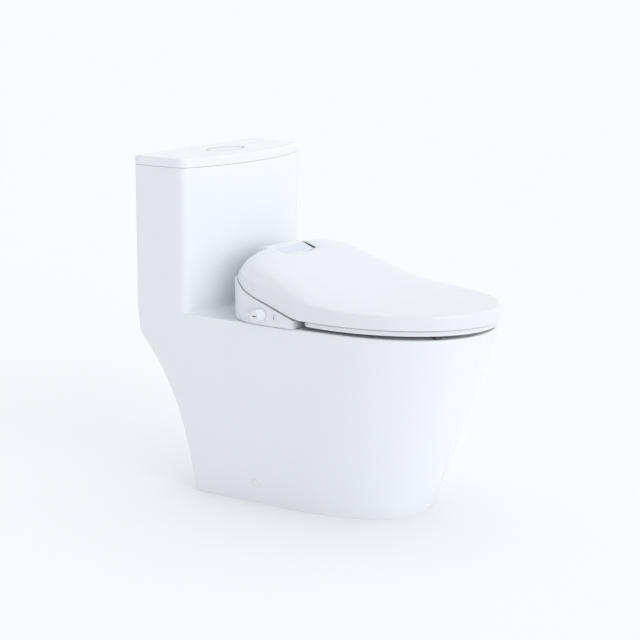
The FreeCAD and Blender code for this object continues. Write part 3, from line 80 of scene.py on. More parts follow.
# tank lid, in millimetres, its heights measured from the seam
LID_TOP, LID_UNDER, LID_GAP, SEAM_ROUND = 20.0, 10.0, 0.3, 1.6
LIP_GAP, LIP_THICK, LIP_DROP = 2.5, 5.0, 7.0
BUTTON_Y, BUTTON_HALF, BUTTON_DEEP = 205.0, 52.3, 28.3
# seat and its lid, in millimetres
HINGE_Y, HINGE_Z = 60.0, 498.0
COVER_HALF, COVER_FRONT, COVER_WIDEST = 193.7, 458.5, 185.0
COVER_BACK_HALF, COVER_BACK, COVER_BACK_ROUND, COVER_WALL = 189.0, 80.0, 104.0, 3.5
WINDOW_HALF, WINDOW_FRONT, WINDOW_ROUND, TIP, NOOK = 58.5, 5.6, 1.2, 4.0, 3.0
NOTCH_HALF, NOTCH_FRONT, NOTCH_TOP = 77.0, 66.0, 500.0
SEAT_INSET, SEAT_BACK, SEAT_BACK_HALF, SEAT_CORNER = 6.0, -126.0, 186.4, 26.0
SEAT_ROUND, SEAT_WALL = 4.5, 3.0
HOLE_HALF, HOLE_LONG, HOLE_MIDDLE, HOLE_AIM = 105.0, 128.0, -277.0, 1.22
EAR_START, EAR_THICK, EAR_EYE = 58.9, 7.0, 9.0
ARM_START, ARM_THICK, ARM_EYE = 67.5, 8.5, 9.5
# washing unit's top, in millimetres
UNIT_HALF, UNIT_FRONT, UNIT_BACK, UNIT_CORNER = 197.0, -116.0, 88.0, 116.0
DECK_INSET, DECK_ROUND = 14.0, 1.2
TOWER_HALF, TOWER_START, TOWER_END = 57.0, -109.7, 81.7
START_ROUND, TOWER_ROUND = 3.0, 4.0
PANEL_HALF, PANEL_FRONT, PANEL_REAR, PANEL_DEEP, STEP = 50.25, 12.25, 36.25, 1.5, 0.05
# stage, in metres, the lens in millimetres
FLOOR_REACH, VIEW_REACH = 80.0, 300.0
CAMERA_AT, CAMERA_AIM = (-3.0112, -2.1836, 1.1480), (-0.00315, -0.0465, 0.3751)
FOCAL, SENSOR = 100.56, 36.0
# refractive index of the glaze and the mouldings, and points once round a ring of the bowl
GLOSS_INDEX = 1.5
AROUND = 96


# ---------------------------------------------------------------- curves and loops
def mixed(low, high, share):
    """low + (high - low) s."""
    return low + (high - low) * share


def smooth(share):
    """0 below 0, 1 above 1 and 3s^2 - 2s^3 between."""
    share = np.clip(share, 0.0, 1.0)
    return share * share * (3 - 2 * share)


def through(keys, count, ends=None):
    """Points on a smooth curve through the keys.

    Each stretch is the cubic with the stretch's end points and end slopes; the slopes are those
    that keep the second derivative continuous, with the length of the chords as parameter. The
    first and last slopes are the given ends, or those of no bending.
    """
    keys = np.asarray(keys, float)
    gap = np.linalg.norm(np.diff(keys, axis=0), axis=1)
    step = np.diff(keys, axis=0) / gap[:, None]
    total = len(keys)
    matrix, right = np.zeros((total, total)), np.zeros_like(keys)
    inner = np.arange(1, total - 1)
    matrix[inner, inner - 1] = 1 / gap[:-1]
    matrix[inner, inner] = 2 / gap[:-1] + 2 / gap[1:]
    matrix[inner, inner + 1] = 1 / gap[1:]
    right[1:-1] = 3 * (step[:-1] / gap[:-1, None] + step[1:] / gap[1:, None])
    if ends is None:
        matrix[0, :2], matrix[-1, -2:] = (2, 1), (1, 2)
        right[0], right[-1] = 3 * step[0], 3 * step[-1]
    else:
        matrix[0, 0] = matrix[-1, -1] = 1
        right[0], right[-1] = ends
    slope = np.linalg.solve(matrix, right)
    at = np.concatenate([[0.0], np.cumsum(gap)])
    wanted = np.linspace(0.0, at[-1], count)
    piece = np.clip(np.searchsorted(at, wanted, "right") - 1, 0, total - 2)
    wide = gap[piece][:, None]
    s = ((wanted - at[piece]) / gap[piece])[:, None]
    return ((2 * s**3 - 3 * s**2 + 1) * keys[piece] + (s**3 - 2 * s**2 + s) * wide * slope[piece]
            + (3 * s**2 - 2 * s**3) * keys[piece + 1] + (s**3 - s**2) * wide * slope[piece + 1])


def evenly(path, count):
    """The same path with its points spaced evenly along its length."""
    path = np.asarray(path, float)
    at = np.concatenate([[0.0], np.cumsum(np.linalg.norm(np.diff(path, axis=0), axis=1))])
    wanted = np.linspace(0.0, at[-1], count)
    return np.stack([np.interp(wanted, at, column) for column in path.T], axis=1)


def line_height(line, y):
    """The height of a broken line of (y, z) points at y, level past its ends."""
    return np.interp(y, line[:, 0], line[:, 1])


def full_turn():
    """Even angles once round, without the one that would repeat the first."""
    return np.linspace(0, 2 * np.pi, AROUND + 1)[:-1]


def arc(centre, radius, start, end, count):
    """Points at angles from start to end, in degrees, round a centre."""
    angle = np.radians(np.linspace(start, end, count))
    return np.stack([centre[0] + radius * np.cos(angle), centre[1] + radius * np.sin(angle)], 1)


def joined(*paths):
    """One closed loop from paths in order, with repeated end points dropped."""
    points = np.concatenate([np.asarray(path, float) for path in paths])
    apart = np.linalg.norm(points - np.roll(points, 1, axis=0), axis=1) > 1e-4
    return points[apart]


def outward(loop):
    """Unit normals of a loop that runs anticlockwise: its direction turned 90 degrees clockwise."""
    along = np.roll(loop, -1, axis=0) - np.roll(loop, 1, axis=0)
    normal = np.stack([along[:, 1], -along[:, 0]], 1)
    return normal / np.linalg.norm(normal, axis=1)[:, None]


def drawn_in(loop, inset):
    """A plan loop scaled about its box's middle, so that each side of the box moves in."""
    low, high = loop.min(0), loop.max(0)
    return (low + high) / 2 + (loop - (low + high) / 2) * (1 - 2 * inset / (high - low))


def lifted(loop, height):
    """A plan loop given a height, one number or one for each point."""
    loop = np.asarray(loop, float)
    return np.concatenate([loop, np.broadcast_to(height, len(loop)).reshape(-1, 1)], 1)


def rounded(low, corner, high, count):
    """Rows from low to high that bend at a corner.

    Each point runs on the parabola (1-t)^2 low + 2t(1-t) corner + t^2 high.
    """
    return [(1 - t) ** 2 * low + 2 * t * (1 - t) * corner + t * t * high
            for t in np.linspace(0.0, 1.0, count)]


class Skin:
    """A surface gathered from rows of points and from filled flat regions, in millimetres."""

    def __init__(self):
        self.points, self.faces, self.count = [], [], 0

    def add(self, points, faces):
        self.points.append(np.asarray(points, float))
        self.faces.extend((np.asarray(faces) + self.count).tolist())
        self.count += len(points)

    def rows(self, rows, closed=True):
        """Quads between rows with the same number of points; closed rows join last to first."""
        grid = np.stack(rows)
        down, across = grid.shape[:2]
        index = np.arange(down * across).reshape(down, across)
        if closed:
            index = np.concatenate([index, index[:, :1]], axis=1)
        quads = np.stack([index[:-1, :-1], index[:-1, 1:], index[1:, 1:], index[1:, :-1]], -1)
        self.add(grid.reshape(-1, 3), quads.reshape(-1, 4))

    def fill(self, loops, height, spacing=0.0):
        """The plan region inside the first loop and outside the others, lifted to a height.

        The height is a function of (x, y). Where a spacing is given, the region also gets a
        lattice of points that far apart, so that a curved region stays smooth.
        """
        edges, points, start = [], [], 0
        for loop in loops:
            plan = np.asarray(loop, float)[:, :2]
            number = np.arange(len(plan))
            edges += (np.stack([number, np.roll(number, -1)], 1) + start).tolist()
            points.append(plan)
            start += len(plan)
        if spacing:
            border = np.concatenate(points)
            low, high = border.min(0), border.max(0)
            across = np.arange(low[0] + spacing / 2, high[0], spacing)
            along = np.arange(low[1] + spacing / 2, high[1], spacing)
            lattice = np.stack(np.meshgrid(across, along), -1).reshape(-1, 2)
            gap = lattice[:, None] - border
            far = (np.hypot(gap[..., 0], gap[..., 1]) > spacing * 0.6).all(axis=1)
            lattice = lattice[far & inside(lattice, loops)]
            points.append(lattice)
        flat = np.concatenate(points)
        found = delaunay_2d_cdt([Vector(p) for p in flat], edges, [], 1, 1e-6)
        corners = np.array([tuple(v) for v in found[0]])
        faces = np.array(found[2])
        keep = inside(corners[faces].mean(1), loops)
        self.add(lifted(corners, height(corners[:, 0], corners[:, 1])), faces[keep])


def inside(points, loops):
    """Which points are inside an odd number of loops: each crossing of a ray to +X counts once."""
    odd = np.zeros(len(points), bool)
    x, y = points[:, 0, None], points[:, 1, None]
    for loop in loops:
        start = np.asarray(loop, float)[:, :2]
        end = np.roll(start, -1, axis=0)
        slanted = start[:, 1] != end[:, 1]
        (x0, y0), (x1, y1) = start[slanted].T, end[slanted].T
        crossed = ((y0 > y) != (y1 > y)) & (x < (x1 - x0) * (y - y0) / (y1 - y0) + x0)
        odd ^= np.logical_xor.reduce(crossed, axis=1)
    return odd


def make_piece(name, skin, node, slot, angle):
    """A closed mesh object from a skin, in place of a node: doubles merged, faces outwards.

    Edges sharper than the angle, in degrees, stay creases. The piece rides where the node does.
    """
    mesh = bpy.data.meshes.new(name)
    mesh.from_pydata((np.concatenate(skin.points) * MM).tolist(), [], skin.faces)
    shape = bmesh.new()
    shape.from_mesh(mesh)
    bmesh.ops.remove_doubles(shape, verts=shape.verts, dist=2e-6)
    bmesh.ops.dissolve_degenerate(shape, edges=shape.edges, dist=1e-7)
    bmesh.ops.recalc_face_normals(shape, faces=shape.faces)
    shape.to_mesh(mesh)
    open_edges = sum(1 for edge in shape.edges if len(edge.link_faces) != 2)
    shape.free()
    if open_edges:
        print("%s has %d open edges" % (name, open_edges))
    mesh.shade_smooth()
    mesh.set_sharp_from_angle(angle=math.radians(angle))
    mesh.materials.append(finishes()[slot])
    piece = bpy.data.objects.new(name, mesh)
    bpy.context.scene.collection.objects.link(piece)
    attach(piece, OWNER[node])
    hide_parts(node)
    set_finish(piece, slot)


# ---------------------------------------------------------------- shape of the china
def back_line(height):
    """How far back the china reaches: 0.3 t + 0.7 t^3.3 of the way to the tank, softened."""
    total = 0.0
    for shift, weight in ((-8.0, 0.15), (-4.0, 0.2), (0.0, 0.3), (4.0, 0.2), (8.0, 0.15)):
        t = np.clip((height + shift) / OVERHANG, 0.0, 1.0)
        total += weight * (0.3 * t + 0.7 * t**3.3)
    return mixed(FOOT["back"], TANK_BACK, total)


def side_curve(height):
    """The right side's plan curve at a height, from behind the tank's side to the front tip.

    Behind the widest point the half width grows by 1 - (1 - s)^1.3 of its gain; in front of it
    x and y follow cos(a)^(2/p) and sin(a)^(2/p). The front tip's reach is a straight line from
    foot to rim plus a belly of 24 t(1 - t).
    """
    share = height / DECK
    half = mixed(FOOT["half"], RIM["half"], share)
    front = mixed(FOOT["front"], RIM["front"], share) + BELLY * share * (1 - share)
    widest = mixed(FOOT["widest"], RIM["widest"], share)
    power = mixed(FOOT["power"], RIM["power"], share)
    back_half = mixed(FOOT["back_half"], TANK_HALF, share)
    back = back_line(height)
    straight_end = min(TANK_SIDE_FRONT, back - BACK_CORNER - 8.0)
    s = np.array([1.0, 0.66, 0.33, 0.0])
    rear = np.stack([mixed(half, back_half, 1 - (1 - s) ** 1.3),
                     mixed(-widest, straight_end, s)], 1)
    a = np.radians([12, 25, 40, 55, 70, 82])
    front_part = np.stack([half * np.cos(a) ** (2 / power),
                           -widest - (front - widest) * np.sin(a) ** (2 / power)], 1)
    keys = np.concatenate([[[back_half, back - BACK_CORNER]], rear, front_part, [[0.0, -front]]])
    return through(keys, 500, ([0.0, -1.0], [-1.0, 0.0]))


def china_loop(height, rear_count=14, front_count=96):
    """The china's outline as (rear part, front part), split where the tank's front corner starts.

    The rear part runs from the right split point round the back to the left one, the front part
    from there round the front, both anticlockwise. The split is SPLIT_LOW ahead of the back at
    the foot, and up to SPLIT_GAIN more as the back reaches out to the tank's.
    """
    curve = side_curve(height)
    back = back_line(height)
    rise = (back - FOOT["back"]) / (TANK_BACK - FOOT["back"])
    split = back - SPLIT_LOW - rise * SPLIT_GAIN
    number = int(np.searchsorted(-curve[:, 1], -split))
    at = np.array([np.interp(-split, -curve[:, 1], curve[:, 0]), split])
    side = evenly(np.concatenate([curve[:number], [at]])[::-1], rear_count)
    corner = arc((side[-1, 0] - BACK_CORNER, back - BACK_CORNER), BACK_CORNER, 0, 90, 7)
    line = np.stack([np.linspace(corner[-1, 0], 0.0, 12), np.full(12, back)], 1)
    right = np.concatenate([side, corner[1:], line[1:]])
    rear = np.concatenate([right, (right * [-1, 1])[::-1][1:]])
    front = evenly(np.concatenate([[at], curve[number:]]), front_count)
    front = np.concatenate([(front * [-1, 1]), front[::-1][1:]])
    return rear, front


def tank_front(rear, count=30):
    """The tank's front outline from the left side to the right: corner, bow, corner.

    It starts and ends on the ends of the rear outline.
    """
    radius = (TANK_HALF**2 + TANK_BOW**2) / (2 * TANK_BOW)
    lean = math.asin(TANK_HALF / radius)
    reach = TANK_CORNER * math.tan((math.pi / 2 - lean) / 2)
    centre = (TANK_HALF - TANK_CORNER, TANK_SIDE_FRONT + reach)
    corner = arc(centre, TANK_CORNER, 0, -90 + math.degrees(lean), 9)[::-1]
    middle = (0.0, TANK_SIDE_FRONT - TANK_BOW + radius)
    edge = math.degrees(math.atan2(corner[0, 1] - middle[1], corner[0, 0] - middle[0]))
    bow = arc(middle, radius, -90, edge, count)
    right = np.concatenate([bow, corner[1:-1], rear[:1]])
    return np.concatenate([(right * [-1, 1])[::-1], right[1:]])


def distance_along(path):
    """For each point, how far it is along the path from the nearer end."""
    at = np.concatenate([[0.0], np.cumsum(np.linalg.norm(np.diff(path, axis=0), axis=1))])
    return np.minimum(at, at[-1] - at)


def path_normals(path):
    """Unit normals of an open anticlockwise path, outwards."""
    along = np.gradient(path, axis=0)
    normal = np.stack([along[:, 1], -along[:, 0]], 1)
    return normal / np.linalg.norm(normal, axis=1)[:, None]


def bowl_rows(count):
    """The bowl and the trap as rings on one path.

    Each key is (y, z, travel angle from straight down towards the back, half width, half length);
    a ring is centre + a cos(w) across + b sin(w) along the ring's own plane.
    """
    bowl = [(BOWL_MIDDLE, 388, 0, BOWL_HALF, BOWL_LONG), (BOWL_MIDDLE, 366, 0, BOWL_HALF, 155.5),
            (BOWL_MIDDLE, 337, 0, 124, 152), (-248, 278, 0, 105, 126), (-252, 210, 0, 66, 81),
            (-243, 160, 8, 45, 52), (-226, 128, 45, 35, 36), (-196, 114, 85, 29, 29)]
    trap = [(y, z, travel, TRAP, TRAP) for y, z, travel in (
        (-162, 121, 125), (-126, 174, 149), (-86, 222, 125), (-48, 232, 92), (-14, 216, 40),
        (0, 178, 0), (0, 100, 0))]
    outlet = [(0, 50, 0, TRAP + 1, TRAP + 1), (0, 40, 0, DRAIN, DRAIN), (0, 0, 0, DRAIN, DRAIN)]
    values = through(bowl + trap + outlet, count)
    angle = np.radians(values[:, 2])[:, None]
    turn = full_turn()[None, :]
    wide, long = values[:, 3][:, None], values[:, 4][:, None]
    x = wide * np.cos(turn)
    reach = long * np.sin(turn)
    y = values[:, 0][:, None] + reach * np.cos(angle)
    z = values[:, 1][:, None] + reach * np.sin(angle)
    z = np.maximum(z, 0.0)
    rings = np.stack([x, y, z], -1)
    rings[-1, :, 2] = 0.0
    return list(rings)


def china_skin(rim_round, base_round):
    """The whole china: skirt, rim, deck, tank outside and inside, bowl, trap and foot recess."""
    skin = Skin()
    low = np.concatenate([[0.0, 1.2], np.linspace(8, 320, 34),
                          np.linspace(326, 356, 11), [364, 372, 380, 386, SKIRT_TOP]])
    rows_rear, rows_front = [], []
    for height in low:
        rear, front = china_loop(height)
        rows_rear.append(lifted(rear, height))
        rows_front.append(lifted(front, height))
    rear, front = china_loop(DECK)
    skin.rows(rows_rear + [lifted(rear, DECK)], closed=False)

    # rim: from the wall over a rounding that dies away at the tank, then a narrow flat band
    room = smooth(distance_along(front) / RIM_FADE)
    inward = -path_normals(front)
    radius = (rim_round * room)[:, None]
    share = (DECK - radius[:, 0] - SKIRT_TOP) / (DECK - SKIRT_TOP)
    start = lifted(mixed(rows_front[-1][:, :2], front, share[:, None]), DECK - radius[:, 0])
    end = lifted(front + inward * radius, DECK)
    band = lifted(front + inward * (radius + BAND * room[:, None]), DECK)
    skin.rows(rows_front + rounded(start, lifted(front, DECK), end, 7) + [band], closed=False)

    # tank front: a hollow rounding up from the deck
    bow = tank_front(rear)
    room = smooth(distance_along(bow) / TANK_FADE)
    normal = path_normals(bow)
    radius = (base_round * room)[:, None]
    foot = lifted(bow + normal * radius, DECK)
    foot_band = lifted(bow + normal * (radius + BAND * room[:, None]), DECK)
    top = lifted(bow, DECK + radius[:, 0])
    heights = np.linspace(DECK + base_round + 4.0, SEAM - MOUTH_ROUND, 24)
    upper = [lifted(bow, height) for height in heights]
    skin.rows([foot_band] + rounded(foot, lifted(bow, DECK), top, 8) + upper, closed=False)
    skin.rows([lifted(rear, DECK)] + [lifted(rear, height) for height in heights], closed=False)

    # tank mouth and inside
    mouth = np.concatenate([rear[:-1], bow[:-1]])
    normal = outward(mouth)
    inner = mouth - normal * TANK_WALL
    rows = rounded(lifted(mouth, SEAM - MOUTH_ROUND), lifted(mouth, SEAM),
                   lifted(mouth - normal * MOUTH_ROUND, SEAM), 4)
    rows += rounded(lifted(inner + normal * MOUTH_ROUND, SEAM), lifted(inner, SEAM),
                    lifted(inner, SEAM - MOUTH_ROUND), 4)
    rows += [lifted(inner, height) for height in np.linspace(SEAM - 20, TANK_FLOOR + 12, 12)]
    floor_edge = lifted(inner - normal * 0.6, TANK_FLOOR)
    rows += rounded(lifted(inner, TANK_FLOOR + 8), lifted(inner, TANK_FLOOR), floor_edge, 5)
    skin.rows(rows)
    skin.fill([floor_edge], lambda x, y: np.full(len(x), TANK_FLOOR))

    # deck between rim, tank and bowl
    rings = bowl_rows(120)
    lip = [lifted(oval(BOWL_HALF + extra, BOWL_LONG + extra, BOWL_MIDDLE), DECK)
           for extra in (BOWL_LIP + BAND, BOWL_LIP, 0.0)]
    skin.rows([lip[0]] + rounded(lip[1], lip[2], rings[0], 7) + rings[1:])
    edge = np.concatenate([band[:-1], foot_band[::-1][:-1]])
    skin.fill([edge, lip[0]], lambda x, y: np.full(len(x), DECK))

    # foot: the skirt's thickness, the recess under it and the drain's stub
    foot = np.concatenate([rows_rear[0][:-1, :2], rows_front[0][:-1, :2]])
    inner = drawn_in(foot, SKIRT_WALL)
    stub = arc((0, 0), DRAIN + DRAIN_WALL, 0, 360, AROUND + 1)[:-1]
    skin.rows([lifted(foot, 0.0), lifted(inner, 0.0), lifted(inner, RECESS)])
    skin.rows([lifted(stub, RECESS), lifted(stub, 0.0), rings[-1]])
    skin.fill([lifted(inner, RECESS), lifted(stub, RECESS)],
              lambda x, y: np.full(len(x), RECESS))
    return skin


# ---------------------------------------------------------------- shape of the tank lid
def tank_loop():
    """The tank's plan at the deck: the china's rear part closed by the tank's front."""
    rear, _ = china_loop(DECK)
    return np.concatenate([rear[:-1], tank_front(rear)[:-1]])


def oval(half_width, half_depth, middle_y):
    """x = a cos(w), y = middle + b sin(w)."""
    w = full_turn()
    return np.stack([half_width * np.cos(w), middle_y + half_depth * np.sin(w)], 1)


def tank_lid_skin(edge_round):
    """A plate with a rounded top edge, an oval hole, a hollow under it and a locating lip."""
    skin = Skin()
    top, under, foot = SEAM + LID_TOP, SEAM + LID_UNDER, SEAM + LID_GAP
    loop = tank_loop()
    normal = outward(loop)
    rows = rounded(lifted(loop - normal * SEAM_ROUND, foot), lifted(loop, foot),
                   lifted(loop, foot + SEAM_ROUND), 5)
    rows += rounded(lifted(loop, top - edge_round), lifted(loop, top),
                    lifted(loop - normal * edge_round, top), 10)
    band = lifted(loop - normal * (edge_round + BAND), top)
    skin.rows(rows + [band])
    hole = oval(BUTTON_HALF, BUTTON_DEEP, BUTTON_Y)
    skin.fill([band, hole], lambda x, y: np.full(len(x), top))
    skin.rows([lifted(hole, top), lifted(hole, under)])

    def lip(inset, height):
        return lifted(drawn_in(loop, inset), height)
    near, tip = TANK_WALL + LIP_GAP, SEAM - LIP_DROP
    far = near + LIP_THICK
    skin.rows([lifted(loop - normal * SEAM_ROUND, foot), lip(near, foot), lip(near, tip + 1.0),
               lip(near + 1.0, tip), lip(far - 1.0, tip), lip(far, tip + 1.0), lip(far, under)])
    skin.fill([lip(far, under), hole], lambda x, y: np.full(len(x), under))
    return skin


# ---------------------------------------------------------------- shape of the lid and seat
# lines of (y, z) along the lid: its crest and its lower edge, and of (y, p) for its section
CREST = through([(-475, 444.5), (-420, 446), (-338, 446), (-300, 447.5), (-261, 451), (-221, 459),
                 (-182, 470), (-141, 483), (-100, 497), (-70, 507), (-40, 516), (-15, 522),
                 (5, 525.5), (25, 528), (42, 528.5), (56, 522.5), (69, 513), (79, 503),
                 (84, 497)], 500)
POWER = through([(-475, 2.0), (-330, 2.0), (-215, 3.6), (-140, 6.0), (-60, 7.5), (7.5, 7.5),
                 (45, 4.4), (84, 2.1)], 300)
LID_EDGE = np.array([(-128, 415.2), (-108, 418.7), (0, 454.5), (20, 461.5), (38, 471.0),
                     (60, 476.5)])


def cover_height(x, y):
    """The lid's top: foot + (crest(y) - foot)(1 - |x/200|^p(y)) - dish.

    The foot falls from 444.5 to 438 as y goes from -215 to -20. A larger p makes the section
    flatter on top with fuller shoulders. The dish, 9.5 mm deep, is a bell along y in front of
    the status panel and fades between 42 and 82 mm from the middle.
    """
    foot = mixed(444.5, 438.0, smooth((y + 215.0) / 195.0))
    crest = np.interp(y, CREST[:, 0], CREST[:, 1])
    power = np.interp(y, POWER[:, 0], POWER[:, 1])
    dish = 9.5 * (1 - smooth((np.abs(x) - 42.0) / 40.0)) * np.exp(-((y - 6.0) / 20.0) ** 2)
    return foot + (crest - foot) * (1 - np.abs(x / 200.0) ** power) - dish


def cover_loop():
    """The lid's plan: half oval in front, sides drawn in, round back corners and a back window."""
    w = np.radians(np.linspace(0, 90, 100))
    front = np.stack([COVER_HALF * np.cos(w), -COVER_WIDEST
                      - (COVER_FRONT - COVER_WIDEST) * np.sin(w)], 1)[::-1]
    turn_y = COVER_BACK - COVER_BACK_ROUND
    side = through([(COVER_HALF, -COVER_WIDEST), (192.0, -100.0), (COVER_BACK_HALF, turn_y)], 30,
                   ([0.0, 1.0], [0.0, 1.0]))
    back = arc((COVER_BACK_HALF - COVER_BACK_ROUND, turn_y), COVER_BACK_ROUND, 0, 90, 36)
    rear = np.stack([np.linspace(back[-1, 0], WINDOW_HALF + TIP, 14), np.full(14, COVER_BACK)], 1)
    tip = arc((WINDOW_HALF + TIP, COVER_BACK - TIP), TIP, 90, 180, 6)
    jamb = np.stack([np.full(22, WINDOW_HALF),
                     np.linspace(COVER_BACK - TIP, WINDOW_FRONT + NOOK, 22)], 1)
    nook = arc((WINDOW_HALF - NOOK, WINDOW_FRONT + NOOK), NOOK, 0, -90, 5)
    sill = np.stack([np.linspace(WINDOW_HALF - NOOK, 0, 16), np.full(16, WINDOW_FRONT)], 1)
    right = joined(front, side, back, rear, tip, jamb, nook, sill)
    left = (right * [-1, 1])[::-1]
    return joined(right, left)


def cover_skin(edge_round, cheek_round):
    """The lid's shell: outer wall, rounded edge, arched top, and the same again inside."""
    skin = Skin()
    loop = cover_loop()
    normal = outward(loop)
    x, y = loop.T
    window = (np.abs(x) < WINDOW_HALF + 6) & (y > WINDOW_FRONT - 1)
    window &= (np.abs(x) < WINDOW_HALF + 1) | (y < COVER_BACK - 3.9)
    low = line_height(LID_EDGE, y)
    low = np.where((np.abs(x) < NOTCH_HALF) & (y > NOTCH_FRONT), NOTCH_TOP, low)
    radius = mixed(edge_round, cheek_round, smooth((y + 160.0) / 140.0))
    radius = np.where(window, WINDOW_ROUND, radius)
    back_wall = y > COVER_BACK - 6
    radius = np.where(back_wall & ~window, 8.0, radius)[:, None]
    corner = lifted(loop, cover_height(x, y))
    low = np.where(window, corner[:, 2] - COVER_WALL, low)
    start = corner.copy()
    start[:, 2] = np.maximum(corner[:, 2] - radius[:, 0], low + 0.3)
    plan = loop - normal * radius
    end = lifted(plan, cover_height(*plan.T))
    plan = loop - normal * (radius + 0.8)
    band = lifted(plan, cover_height(*plan.T))
    bottom = lifted(loop, low)
    lip = lifted(loop - normal * 0.8, low)
    walls = [mixed(bottom, start, share) for share in (0.06, 0.3, 0.6)]
    skin.rows([lip] + rounded(lip, bottom, walls[0], 3)[1:] + walls[1:]
              + rounded(start, corner, end, 10) + [band])
    skin.fill([band], cover_height, 7.0)

    inner = loop - normal * COVER_WALL
    ceiling = cover_height(*inner.T) - COVER_WALL
    inner_low = lifted(inner, np.minimum(low, ceiling))
    skin.rows([lip, inner_low, lifted(inner, np.maximum(ceiling, inner_low[:, 2]))])
    skin.fill([lifted(inner, ceiling)], lambda a, b: cover_height(a, b) - COVER_WALL, 9.0)
    return skin


def plate_skin(skin, outline, start, thick, bevel=0.8):
    """A plate across X from a (y, z) outline, its two rims bevelled."""
    outline = np.asarray(outline, float)
    normal = outward(outline)
    rows = []
    for across, inset in ((start, bevel), (start + bevel, 0), (start + thick - bevel, 0),
                          (start + thick, bevel)):
        plan = outline - normal * inset
        rows.append(np.stack([np.full(len(plan), across), plan[:, 0], plan[:, 1]], 1))
    skin.rows(rows)
    for row in (rows[0], rows[-1]):
        side = Skin()
        side.fill([row[:, 1:]], lambda a, b: np.full(len(a), row[0, 0]))
        turned = side.points[0][:, [2, 0, 1]]
        skin.add(turned, side.faces)


def seat_loop(count=200):
    """The seat's plan from the back's middle round the right side: oval front, square back."""
    half, front = COVER_HALF - SEAT_INSET, COVER_FRONT - SEAT_INSET
    w = np.radians(np.linspace(0, 90, 90))
    oval_part = np.stack([half * np.cos(w), -COVER_WIDEST - (front - COVER_WIDEST) * np.sin(w)], 1)
    corner = arc((SEAT_BACK_HALF - SEAT_CORNER, SEAT_BACK - SEAT_CORNER), SEAT_CORNER, 90, 0, 16)
    right = np.concatenate([[[0.0, SEAT_BACK]], corner, oval_part])
    right = evenly(right, count // 2 + 1)
    return joined((right * [-1, 1])[:-1], right[::-1])


def seat_skin(low, high_edge, crown, inset=0.0, hollow=0.0):
    """The ring between the seat's plan and its oval hole, drawn in at both by an inset.

    A point of the edge is joined to the hole's at the angle of (x, (y - middle) / HOLE_AIM). Each
    column runs from the outer edge to the hole: up the wall, over a rounding, along a crown
    that follows sin^0.8 across the width, over a second rounding and down the hole's wall. Where
    a hollow is given, the underside is cut out that deep between walls 3 mm thick.
    """
    skin = Skin()
    outer = seat_loop()
    outer = outer - outward(outer) * inset
    aim = np.arctan2((outer[:, 1] - HOLE_MIDDLE) / HOLE_AIM, outer[:, 0])
    hole = np.stack([(HOLE_HALF + inset) * np.cos(aim),
                     HOLE_MIDDLE + (HOLE_LONG + inset) * np.sin(aim)], 1)
    across = hole - outer
    wide = np.linalg.norm(across, axis=1)[:, None]
    unit = across / wide
    rim = SEAT_ROUND
    shoulder, wall_top = high_edge + 0.9, high_edge - rim * 0.7

    def at(distance, height):
        return lifted(outer + unit * distance, height)

    def back_at(distance, height):
        return lifted(hole - unit * distance, height)
    rows = [at(0.0, low), at(0.0, wall_top)]
    rows += rounded(rows[-1], at(0.0, high_edge), at(rim, shoulder), 6)[1:]
    for share in np.linspace(0.06, 0.94, 15):
        rise = math.sin(math.pi * share) ** 0.8
        rows.append(at(mixed(rim, wide - rim, share), mixed(shoulder, crown, rise)))
    rows += rounded(back_at(rim, shoulder), back_at(0.0, high_edge), back_at(0.0, wall_top), 6)
    rows.append(back_at(0.0, low))
    if hollow:
        roof = low + hollow
        rows += [back_at(SEAT_WALL, low), back_at(SEAT_WALL, roof), at(SEAT_WALL, roof),
                 at(SEAT_WALL, low)]
    skin.rows(rows + [rows[0]])
    return skin


def ear_outline(x):
    """A lug that carries the lid on its hinge pin, as (y, z): round eye, web up to the lid."""
    eye = arc((HINGE_Y, HINGE_Z), EAR_EYE, 180, 360, 26)
    along = np.linspace(HINGE_Y + 10, HINGE_Y - 19, 20)
    roof = np.stack([along, cover_height(np.full(20, x), along) - 1.6], 1)
    return joined(evenly(np.concatenate([eye, roof, eye[:1]]), 110))[:-1]


def arm_outline():
    """A slim arm from the ring's back up to a round eye about the hinge, as (y, z)."""
    eye = arc((HINGE_Y, HINGE_Z), ARM_EYE, 110, -72, 26)
    low = [(-82.0, 435.5), (-96.0, 430.0), (-128.0, 412.0), (-140.0, 412.0)]
    high = [(-140.0, 419.5), (-122.0, 421.5), (-104.0, 441.0)]
    return joined(evenly(np.concatenate([eye, low, high, eye[:1]]), 120)[::-1])[:-1]


# ---------------------------------------------------------------- shape of the washing unit's top
# lines of (y, z): the base's ledge, the low deck on it, and the tower that carries the hinge
LEDGE = np.array([(-130, 410.0), (-118, 411.5), (0, 452.0), (18, 459.0), (130, 459.0)])
DECK_LINE = np.array([(-130, 415.0), (-112, 420.0), (-10, 452.0), (4, 455.8), (18, 460.8),
                      (130, 460.8)])
TOWER_LINE = np.array([(-113, 424.0), (-95, 447.0), (-60, 468.0), (-20, 492.0), (2, 506.0),
                       (7.5, 514.5), (38, 526.0), (58, 529.5), (72, 526.0), (82, 512.0)])


def unit_loop(inset):
    """The unit's plan drawn in by an inset: square front, large round back corners."""
    half, front = UNIT_HALF - inset, UNIT_FRONT + inset
    back, radius = UNIT_BACK - inset, UNIT_CORNER - inset
    turn = (half - radius, back - radius)
    side = np.stack([np.full(16, half), np.linspace(front + 3, turn[1], 16)], 1)
    corner = arc((half - 3, front + 3), 3, -90, 0, 6)
    sill = np.stack([np.linspace(0, half - 3, 24), np.full(24, front)], 1)
    rear = np.stack([np.linspace(turn[0], 0, 14), np.full(14, back)], 1)
    right = joined(sill, corner, side, arc(turn, radius, 0, 90, 30), rear)
    return joined(right, (right * [-1, 1])[::-1])


